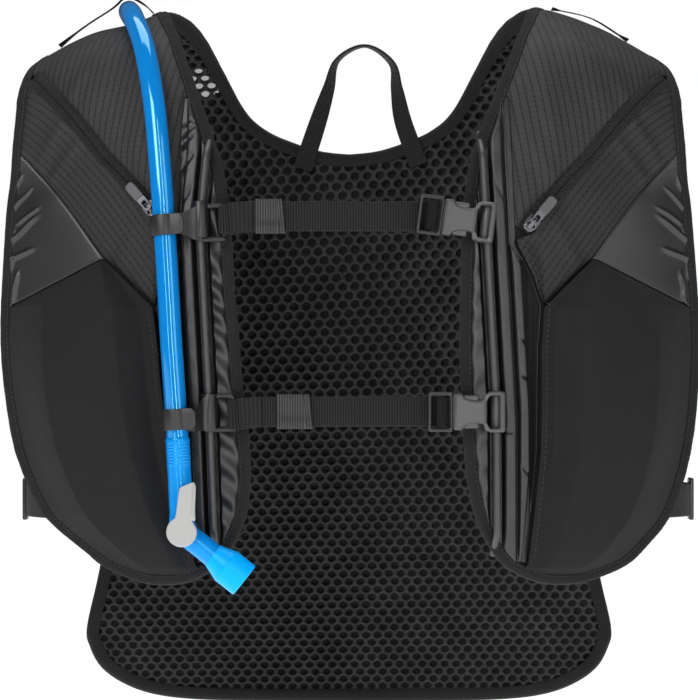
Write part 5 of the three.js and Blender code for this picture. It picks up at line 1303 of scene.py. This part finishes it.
def build_buckle(tag, fall, tilt):
    """Side-release buckle: a waisted socket on the rail, and the frame that holds the strap."""
    axes, origin = leaning_axes(1, fall, tilt), rail_place(1, fall)
    corners = SOCKET_HALF + [(x, -z, radius) for x, z, radius in SOCKET_HALF[::-1]]
    outline = rounded([corner[:2] for corner in corners], [corner[2] for corner in corners])
    window = rounded(rectangle(-4.9, 1.3, -8.1, 8.1), [1.0, 0.8, 0.8, 2.4])
    sleeve = [(2.75, -8.6), (2.9, -8.3), (2.9, 8.3), (2.75, 8.6)]
    parts = [
        plate([outline, window], 7.4, 1.5, 4, depth=-2.2),
        lathe(sleeve, 28, (0, 0.3, 0), (0, 0, 1)),
        *(plate([rounded(rectangle(-16.6, -9.0, low, high), 1.1)], 4.6, 0.9, 3, depth=-1.8)
          for low, high in ((5.0, 8.3), (-8.3, -5.0))),
    ]
    make_piece(f"buckle_socket_{tag}", placed(parts, origin, axes), "acetal with painted sheen",
               [f"buckle_female_{tag}"], angle=32)
    right = SOCKET_HALF[0][0] - GAP
    first = right - 12.5
    loop = rounded(rectangle(first, right, -9.9, 9.9), [1.6, 0.6, 0.6, 1.6])
    hole = rounded(rectangle(first + 1.9, right - 1.5, -8.1, 8.1), 0.7)
    bar_x, bar_y = first + 7.4, -1.2
    parts = [
        plate([loop, hole], 4.6, 0.9, 3, depth=-2.2),
        bar((bar_x, bar_y, -8.6), (bar_x, bar_y, 8.6), 1.1),
        plate([rounded(rectangle(right - 1.2, right + 3, -8.4, 8.4), 0.5)], 3.4, 0.5, 2, depth=-2.2),
    ]
    make_piece(f"buckle_frame_{tag}", placed(parts, origin, axes), "acetal black",
               [f"buckle_male_{tag}"], angle=32)
    wound = [
        (bar_x + 2.5 * math.cos(a), bar_y - 2.3 * math.sin(a), 0)
        for a in np.linspace(-0.4, math.pi + 0.7, 22)
    ]
    path = np.array([(first + 10.2, 1.6, 0), *wound, (first + 3.6, 1.3, 0)]) @ axes + origin
    # The webbing's turn round the bar is painted darker, as painted shade inside the frame.
    ribbon(f"strap_turn_{tag}", path, np.tile(axes[2], (len(path), 1)), size_of("webbing_width"),
           size_of("webbing_thickness"), "dark elastic and webbing in painted shade")
    return origin + np.array([first + 6.5, -2.2, 0])


def build_ring(tag, fall, drop, clip_drop):
    """The ring on the left rail with its arm to the tube clip, which it builds too."""
    axes, origin = leaning_axes(-1, fall), rail_place(-1, fall)
    line = tube_line()
    nearest = np.argmin(np.abs(line[:240, 2] - origin[2] - clip_drop))
    held_x, held_y = (line[nearest] - origin)[:2]
    end, front = held_x + size_of("tube_radius") + 2.4, held_y - size_of("tube_radius") - 2.1
    outer = [(-2.4, -9.6 + drop), (12.4, -9.6 + drop), (13.1, 9.6 + drop), (-0.4, 9.9 + drop)]
    hole = [(1.2, -7.0 + drop), (11.2, -7.0 + drop), (11.2, 7.4 + drop), (2.6, 7.6 + drop)]
    sleeve = [(2.9, -9.2), (4.0, -9.2), (4.2, -8.8), (4.2, 8.8), (4.0, 9.2), (2.9, 9.2)]
    lip_end = (11.6, -1.6, -8.2 + drop)
    arm = []
    for x, y, low, high in (
        (end - 3, front + 2.8, -4.9 + clip_drop, 4.9 + clip_drop),
        (end + 1.5, front + 2.7, -5.4 + clip_drop, 5.4 + clip_drop),
        (-3.0, -3.8, -8.6 + drop, 7.6 + drop), (-0.6, -4.0, -9.4 + drop, 9.0 + drop),
        (0.8, -3.2, -9.6 + drop, 9.2 + drop),
    ):
        arm += [(x, y, low), (x, y, high), (x, y + 1.7, high - 0.4), (x, y + 1.7, low + 0.4)]
    arm = np.array(arm)
    parts = [
        plate([rounded(outer, [3.2, 1.2, 3.5, 5]), rounded(hole, [1.6, 0.8, 1.8, 3.6])],
              3.0, 1.1, 4, depth=-0.4),
        lathe(sleeve, 28, (0, 0, drop / 2), (0, 0, 1)),
        bar((2.0, -1.6, -8.6 + drop), lip_end, 1.25),
        lathe([(0, 1.2), (0.8, 0.95), (1.25, 0), (0.8, -0.95), (0, -1.2)], 16, lip_end, (1, 0, 0)),
        (arm, grid_faces(5, 4, closed=True) + [[0, 1, 2, 3], [19, 18, 17, 16]], arm[:, [0, 2]]),
    ]
    make_piece(f"strap_ring_{tag}", placed(parts, origin, axes), "acetal black",
               [f"strap_hook_{tag}"], angle=50)
    build_clip(tag, line[nearest], unit(line[nearest + 3] - line[nearest - 3]))
    return origin


def build_clip(tag, middle, up):
    """The open band round the tube, with a flat tail that narrows at its end."""
    aside = unit(np.array([1.0, 0, 0]) - up * up[0])
    outward = np.cross(aside, up)
    angles = np.radians(np.linspace(238, 62, 50))
    rim = (size_of("tube_radius") + 0.9) * np.stack([np.cos(angles), np.sin(angles)], 1)
    tail_x = np.linspace(rim[-1, 0], 9.8, 14)[1:]
    tail = np.stack([tail_x, rim[-1, 1] + 0.16 * (tail_x - rim[-1, 0])], 1)
    rim = np.concatenate([rim, tail])
    path = middle + rim[:, :1] * aside + rim[:, 1:] * outward
    ring = rounded(rectangle(-5.25, 5.25, -0.85, 0.85), 0.5, 3)
    points, faces, uv = sweep(path, np.tile(up, (len(path), 1)), ring)
    grid = points.reshape(len(path), -1, 3)
    narrowed = 0.42 * np.clip((np.arange(len(path)) - (len(path) - 6)) / 5, 0, 1) ** 2.2
    off_middle = ((grid - grid.mean(1, keepdims=True)) @ up)[..., None] * up
    points = grid - off_middle * narrowed[:, None, None]
    make_piece(f"clip_band_{tag}", (points, faces, uv), "clip plastic",
               [f"tube_clip_{tag}"], angle=50)


def build_keeper(tag, middle, length):
    """The elastic loop that keeps the strap's loose end."""
    x, y, z = middle
    angles = 2 * np.pi * np.arange(16) / 16 + 0.2
    c, d = np.cos(angles), np.sin(angles)
    high = size_of("webbing_width") / 2 + 1.2
    wrap = np.stack([
        np.full(16, x), y + 0.6 - 2.0 * np.sign(c) * np.abs(c) ** 0.5,
        z - high * np.sign(d) * np.abs(d) ** 0.35,
    ], 1)
    steps = np.linspace(0, 1, 4)[:-1, None]
    fine = mix(wrap[:, None], np.roll(wrap, -1, 0)[:, None], steps).reshape(-1, 3)
    shares = np.linspace(-0.5, 0.5, 24)
    bulge = [shares * (length - 0.8), 0.35 * np.abs(shares * 2) ** 6, 0 * shares]
    grid = fine[:, None] + np.stack(bulge, 1)[None]
    # Its right edge leans, pulled askew by the webbing.
    grid[..., 0] -= 0.1 * (grid[..., 2] - z) * (shares[None] > 0.3)
    rows, columns = grid.shape[:2]
    last = (rows - 1) * columns
    faces = grid_faces(rows, columns)
    faces += [[last + k, last + k + 1, k + 1, k] for k in range(columns - 1)]
    uv = np.stack(np.broadcast_arrays(run_of(fine)[:, None], shares[None] * length), -1)
    piece = make_piece(f"strap_keeper_{tag}", (grid, faces, uv), "keeper elastic",
                       [f"keeper_{tag}"])


def build_chest_strap(tag, height, tilt, after, length, drops):
    """One chest strap from its ring to its buckle, from a row of CHEST_STRAPS."""
    fall = -height / FRONT_LENGTH
    ring = build_ring(tag, fall, drops[0], drops[1])
    buckle = build_buckle(tag, fall - drops[2] / FRONT_LENGTH, tilt)
    bar_x, level, radius, sag = ring[0] + 12.15, ring[2], STRAP_TURN_RADIUS, 1.6
    fold, start, y = bar_x + 13, bar_x + 13 + after, ring[1] - radius
    path = [(fold, ring[1] + radius - 0.6, level), (bar_x + 4, ring[1] + radius, level - sag)]
    path += [
        (bar_x + radius * math.cos(a), ring[1] + radius * math.sin(a), level - sag)
        for a in math.pi / 2 + math.pi * np.arange(9) / 8
    ]
    path += [
        (bar_x + 4, y, level - sag * 0.7), (fold - 2, y, level), (start, y, level),
        (start + length, y + 1.2, level), (buckle[0] - 12, buckle[1] + 2.6, level),
        (buckle[0] - 7, buckle[1] + 3.0, level), (buckle[0] + 1.0, buckle[1] + 3.2, level),
    ]
    up, width = np.tile([0.0, 0, 1], (len(path), 1)), size_of("webbing_width")
    ribbon(f"strap_webbing_{tag}", path, up, width, size_of("webbing_thickness"), "webbing",
           [f"strap_{tag}"])
    block = [
        (bar_x + 2.6, y - 0.9, level - 0.5), (bar_x + 5, y - 1.3, level - 0.3),
        (fold - 1, y - 1.3, level), (fold + 0.5, y - 1.1, level),
    ]
    ribbon(f"strap_block_{tag}", block, up[:4], width - 0.4, 1.0, "bar tack")
    build_keeper(tag, (start + length / 2, y, level), length)


def build_loop():
    """The carrying loop, whose webbing turns edge-on at the top."""
    base, count = NECK_LINE[-1][1] * BACK_LENGTH, 150
    across, rise, turn = np.array(LOOP_LINE).T
    x = LOOP_OFFSET + LOOP_SPAN * (across - 0.5)
    z = -base - 5 + LOOP_RISE * rise
    y = lifted(x, back_way(-np.minimum(z, -base * 0.85) / BACK_LENGTH), -2.6)[:, 1]
    path = catmull(np.stack([x, y, z], 1), count)
    at = np.linspace(0, len(turn) - 1, count)
    turn = np.interp(at, np.arange(len(turn)), turn)[:, None] * math.pi / 2
    flat = unit(np.cross((0.0, 1.0, 0.0), np.gradient(path, axis=0)))
    across = flat * np.cos(turn) + np.array([0, 1.0, 0]) * np.sin(turn)
    ribbon("carrying_loop", path, across, 10, size_of("webbing_thickness"), "webbing",
           ["handle_loop"])


def build_shoulder_band(side, tag):
    """Elastic over the shoulder, arched over what runs beneath it."""
    inner, outer = (0.585, 0.8) if side > 0 else (0.56, 0.83)
    crest = (inner + outer) / 2 if side > 0 else -GROOVE_SHARE
    lay = COVER_HIGH + 2.5 * GAP
    share = mix(inner, outer, np.linspace(0, 1, 60))
    u = np.where(share < crest, (share - inner) / (crest - inner), (outer - share) / (outer - crest))
    if side > 0:
        h = lay + 2 * ease(0, 1, u)
    else:
        steep = np.sin(np.minimum(1, u * 1.15) ** 0.8 * math.pi / 2)
        gentle = np.minimum(1, 1.08 * u) - 0.13 * np.sin(math.pi * u)
        over_tube = 11.4 + size_of("tube_radius") + GAP - lay + 1.2
        h = lay + over_tube * np.where(share < crest, steep, gentle)
    x = side * HALF_WIDTH * share
    across = unit(lifted(x, 5, h) - lifted(x, -5, h))
    # Pulled taut, it slopes a little to the front where it stands clear of the cover.
    across = mix(across, np.array([0, -1.0, -0.1]), np.minimum(1, 4 * u)[:, None])
    ribbon(f"shoulder_elastic_{tag}", lifted(x, 0, h + 0.5), across, 20, 0.6, "dark elastic and webbing in painted shade",
           [f"shoulder_band_{tag}"])


def build_side_strap(side, tag):
    """Webbing and frame that join the lower corner of a front panel to the back."""
    s = float(chest_way(0.862))
    outer = span_at([FRONT_OUTLINE], s)[1]
    front_end, front_near = (on_front(side, outer - back, s, -4.0) for back in (4, 12))
    level = float(front_end[2])
    back_s = float(back_way(-level / BACK_LENGTH))
    back_outer = crossings(BACK_OUTLINE, back_s)[-1]
    back_end, back_near = (lifted(side * (back_outer - back), back_s, -3.0) for back in (4, 12))
    reach = 176 if side > 0 else 166.5
    path = np.array([
        front_near, front_end, (side * (reach - 1.5), front_end[1] * 0.45, level),
        (side * reach, 0, level), (side * mix(reach, back_outer, 0.35), back_end[1] * 0.6, level),
        back_end, back_near,
    ])
    path[:, 2] = level
    path = catmull(path, 90)
    ribbon(f"side_webbing_{tag}", path, np.tile([0, 0, 1.0], (90, 1)), 17,
           size_of("webbing_thickness"), "webbing", [f"side_strap_{tag}"])
    middle = path[np.argmin(np.abs(path[:, 1]))] + np.array([side * 1.9, 0, 0])
    loops = [rounded(rectangle(-6.5, 6.5, -10.9, 10.9), 1.5)]
    loops += [rounded(rectangle(x, x + 3.6, -8.6, 8.6), 0.6) for x in (-4.6, 1.0)]
    part = placed([plate(loops, 2.4, 0.7, 3)], middle, [[0, side, 0], [-side, 0, 0], [0, 0, 1]])
    make_piece(f"side_frame_{tag}", part, "acetal black", [f"side_buckle_{tag}"], angle=40)


def build_sleeve():
    """The reservoir sleeve on the back: a crowned stretch pocket, open at the top."""
    rows, columns = 130, 120
    v = np.linspace(0, 1, rows)[:, None]
    s = mix(float(back_way(0.262)), float(back_way(0.975)), v)
    inside = back_inset(BINDING_WIDTH + 1)
    reach = np.array([min(112, crossings(inside, float(k))[-1] - 1) for k in s[:, 0]])[:, None]
    across = np.linspace(-1, 1, columns)[None]
    x = reach * (1 - 0.12 * ease(0.82, 1, v)) * across
    depth = mix(22, 34, ease(0, 0.45, v)) * (1 - ease(0.55, 1, v)) ** 0.6
    rise = BACK_THICK + 1.4 + depth * (1 - across**2) ** 0.62
    soft = 0.8 * ripple(x, s, 70, 51) + 0.2 * ripple(x, s, 22, 52)
    s = np.broadcast_to(s, x.shape)
    outer = lifted(x, s, rise + 1.6 + soft * arch(v, 0.5) * (1 - across**2))
    part = slab(x, s, outer, lifted(x, s, rise), turned=True)
    piece = make_piece("reservoir_sleeve", part, "stretch twill", ["rear_sleeve"])


def add_object(name, data):
    """Adds an object that isn't part of the vest."""
    made = bpy.data.objects.new(name, data)
    bpy.context.scene.collection.objects.link(made)
    return made


def build_stage():
    """The camera, a white room, softboxes, and a floor that fades into the room."""
    camera = add_object("camera", bpy.data.cameras.new("camera"))
    camera.data.lens = CAMERA_LENS
    camera.data.clip_start, camera.data.clip_end = 0.1, 100
    camera.location, camera.rotation_euler = CAMERA_PLACE, (math.pi / 2, 0, 0)
    bpy.context.scene.camera = camera
    world = bpy.context.scene.world = bpy.data.worlds.new("studio")
    world.use_nodes = True
    tree = world.node_tree
    tree.nodes.clear()
    seen = add_node(tree, "ShaderNodeLightPath").outputs["Is Camera Ray"]
    room, wall = (
        add_node(tree, "ShaderNodeBackground", {"Color": (1, 1, 1, 1), "Strength": power}).outputs[0]
        for power in (0.1, 1.0)
    )
    both = add_node(tree, "ShaderNodeMixShader", {0: seen, 1: room, 2: wall})
    add_node(tree, "ShaderNodeOutputWorld", {"Surface": both.outputs[0]})
    for name, place, width, height, watts, on_cloth in LIGHTS:
        lamp = add_object(name, bpy.data.lights.new(name, "AREA"))
        lamp.data.shape = "RECTANGLE"
        lamp.data.size, lamp.data.size_y, lamp.data.energy = width, height, watts
        lamp.location = place
        aim = Vector((0, 0, -0.17)) - Vector(place)
        lamp.rotation_euler = aim.to_track_quat("-Z", "Y").to_euler()
        lamp.visible_diffuse = on_cloth
    mesh = bpy.data.meshes.new("floor")
    corners = rectangle(-FLOOR_REACH, FLOOR_REACH, -FLOOR_REACH, FLOOR_REACH)
    mesh.from_pydata([(x, y, FLOOR_LEVEL) for x, y in corners], [], [(0, 1, 2, 3)])
    # Painted studio floor: rolled matt paint with faint unevenness, lit until it fades into the room.
    tree = start_material("painted studio floor")
    place = add_node(tree, "ShaderNodeTexCoord").outputs["Object"]
    tone = blended(tree, noise(tree, place, 3.0), hex_linear("#fbfbfb"), hex_linear("#fefefe"))
    end_material(tree, add_node(tree, "ShaderNodeBsdfPrincipled", {
        "Base Color": tone, "Roughness": 0.9, "Emission Color": (1, 1, 1, 1), "Emission Strength": 0.97,
    }))
    mesh.materials.append(FINISH["painted studio floor"])
    floor = add_object("floor", mesh)
    bpy.context.scene.view_settings.view_transform = "Standard"


# Settings, operators and panel


def length(name, description, millimetres):
    """A size setting."""
    return bpy.props.FloatProperty(
        name=name, description=description, default=millimetres * MM, min=0, unit="LENGTH")


def tint(name, description, value):
    """A colour setting, from its sRGB hex."""
    return bpy.props.FloatVectorProperty(
        name=name, description=description, default=hex_linear(value)[:3], min=0, max=1, subtype="COLOR")


class VestSizes(bpy.types.PropertyGroup):
    """Sizes of the vest's trim"""
    tube_radius: length("Tube radius", "Outside radius of the drinking tube", 5.5)
    webbing_width: length("Webbing width", "Width of the chest straps", 15)
    webbing_thickness: length("Webbing thickness", "Thickness of every strap", 1.3)
    stitch_pitch: length("Stitch pitch", "Distance from one stitch to the next", 2.6)
    stitch_length: length("Stitch length", "Length of one stitch", 1.6)


class VestColours(bpy.types.PropertyGroup):
    """Colours of the vest's materials"""
    spacer: tint("Spacer mesh", "Yarn of the open mesh on the back", "#464648")
    ripstop: tint("Ripstop", "Cloth of the upper pockets and bands, and zips", "#363637")
    nylon: tint("Nylon", "Shiny cloth of the patches and gussets", "#202021")
    twill: tint("Twill", "Stretch cloth of the cargo pockets and the sleeve", "#212122")
    tape: tint("Tape", "Folded tape round the edges, rails and linings", "#252526")
    webbing: tint("Webbing", "Straps, loop, elastics and side straps", "#323233")
    thread: tint("Thread", "Stitches", "#333334")
    plastic: tint("Plastic", "Buckles, clips and pulls", "#434344")
    lever: tint("Lever", "Shut-off lever of the valve", "#b4b4b3")
    tube: tint("Tube", "Drinking tube and the valve's body", "#0084d8")
    silicone: tint("Silicone", "Bite piece of the valve", "#00a0f4")
    zinc: tint("Zinc", "Zip sliders and their links", "#636367")


class VEST_OT_stage(bpy.types.Operator):
    """Adds the camera, the studio lights and the floor"""
    bl_idname = "vest.stage"
    bl_label = "Camera, lights and floor"

    def execute(self, context):
        build_stage()
        return {"FINISHED"}


class VEST_OT_finishes(bpy.types.Operator):
    """Makes the materials from the chosen colours"""
    bl_idname = "vest.finishes"
    bl_label = "Materials"

    def execute(self, context):
        build_materials()
        return {"FINISHED"}


class VEST_OT_tube(bpy.types.Operator):
    """Runs the drinking tube and puts the bite valve on it"""
    bl_idname = "vest.tube"
    bl_label = "Drinking tube and valve"

    def execute(self, context):
        build_tube()
        build_valve()
        build_lever()
        dress("tube_connector", "acetal black")
        return {"FINISHED"}


class VEST_OT_back(bpy.types.Operator):
    """Knits the spacer-mesh back with its far side"""
    bl_idname = "vest.back"
    bl_label = "Mesh back"

    def execute(self, context):
        build_back_mesh()
        build_back_layers()
        return {"FINISHED"}


class VEST_OT_bindings(bpy.types.Operator):
    """Folds the tapes over the edges and sews them"""
    bl_idname = "vest.bindings"
    bl_label = "Edge bindings"

    def execute(self, context):
        build_bindings()
        return {"FINISHED"}


class VEST_OT_front_panels(bpy.types.Operator):
    """Builds both front panels: lining, pocket covers, band, patch and gusset"""
    bl_idname = "vest.front_panels"
    bl_label = "Front panels"

    def execute(self, context):
        for build in (build_front, build_lining):
            for side, tag in SIDES:
                build(side, tag)
        return {"FINISHED"}


class VEST_OT_zips(bpy.types.Operator):
    """Lays the zips with their sliders and pulls"""
    bl_idname = "vest.zips"
    bl_label = "Zips"

    def execute(self, context):
        for (side, tag), (origin, axes) in zip(SIDES, SLIDER_PLACES):
            build_zip(side, tag)
            build_slider(tag, origin, axes)
        return {"FINISHED"}


class VEST_OT_rails(bpy.types.Operator):
    """Sews on the corded rails that the chest straps slide on"""
    bl_idname = "vest.rails"
    bl_label = "Rails"

    def execute(self, context):
        for side, tag in SIDES:
            build_rail(side, tag)
        return {"FINISHED"}


class VEST_OT_chest_straps(bpy.types.Operator):
    """Threads the two chest straps with their rings, tube clips and buckles"""
    bl_idname = "vest.chest_straps"
    bl_label = "Chest straps"

    def execute(self, context):
        for tag, row in CHEST_STRAPS.items():
            build_chest_strap(tag, *row)
        return {"FINISHED"}


class VEST_OT_bands(bpy.types.Operator):
    """Adds the carrying loop, the shoulder elastics and the side straps"""
    bl_idname = "vest.bands"
    bl_label = "Loop, elastics and side straps"

    def execute(self, context):
        build_loop()
        for side, tag in SIDES:
            build_shoulder_band(side, tag)
            build_side_strap(side, tag)
        return {"FINISHED"}


class VEST_OT_sleeve(bpy.types.Operator):
    """Sews the reservoir sleeve to the back"""
    bl_idname = "vest.sleeve"
    bl_label = "Reservoir sleeve"

    def execute(self, context):
        build_sleeve()
        return {"FINISHED"}


OPERATORS = (
    VEST_OT_stage, VEST_OT_finishes, VEST_OT_tube, VEST_OT_back, VEST_OT_bindings, VEST_OT_front_panels,
    VEST_OT_zips, VEST_OT_rails, VEST_OT_chest_straps, VEST_OT_bands, VEST_OT_sleeve,
)


class VEST_PT_vest(bpy.types.Panel):
    """Lists the vest's sizes, colours and builders"""
    bl_idname = "VEST_PT_vest"
    bl_label = "Running hydration vest"
    bl_space_type = "VIEW_3D"
    bl_region_type = "UI"
    bl_category = "Vest"

    def draw(self, context):
        for group in (context.scene.vest_sizes, context.scene.vest_colours):
            for setting in group.__annotations__:
                self.layout.prop(group, setting)
        for operator in OPERATORS:
            self.layout.operator(operator.bl_idname)


CLASSES = (VestSizes, VestColours, *OPERATORS, VEST_PT_vest)


def register():
    for made in CLASSES:
        bpy.utils.register_class(made)
    bpy.types.Scene.vest_sizes = bpy.props.PointerProperty(type=VestSizes)
    bpy.types.Scene.vest_colours = bpy.props.PointerProperty(type=VestColours)


def unregister():
    del bpy.types.Scene.vest_colours
    del bpy.types.Scene.vest_sizes
    for made in reversed(CLASSES):
        bpy.utils.unregister_class(made)


def main():
    register()
    bpy.ops.vest.stage()
    bpy.ops.vest.finishes()
    bpy.ops.vest.tube()
    bpy.ops.vest.back()
    bpy.ops.vest.bindings()
    bpy.ops.vest.front_panels()
    bpy.ops.vest.zips()
    bpy.ops.vest.rails()
    bpy.ops.vest.chest_straps()
    bpy.ops.vest.bands()
    bpy.ops.vest.sleeve()


if __name__ == "__main__":
    main()
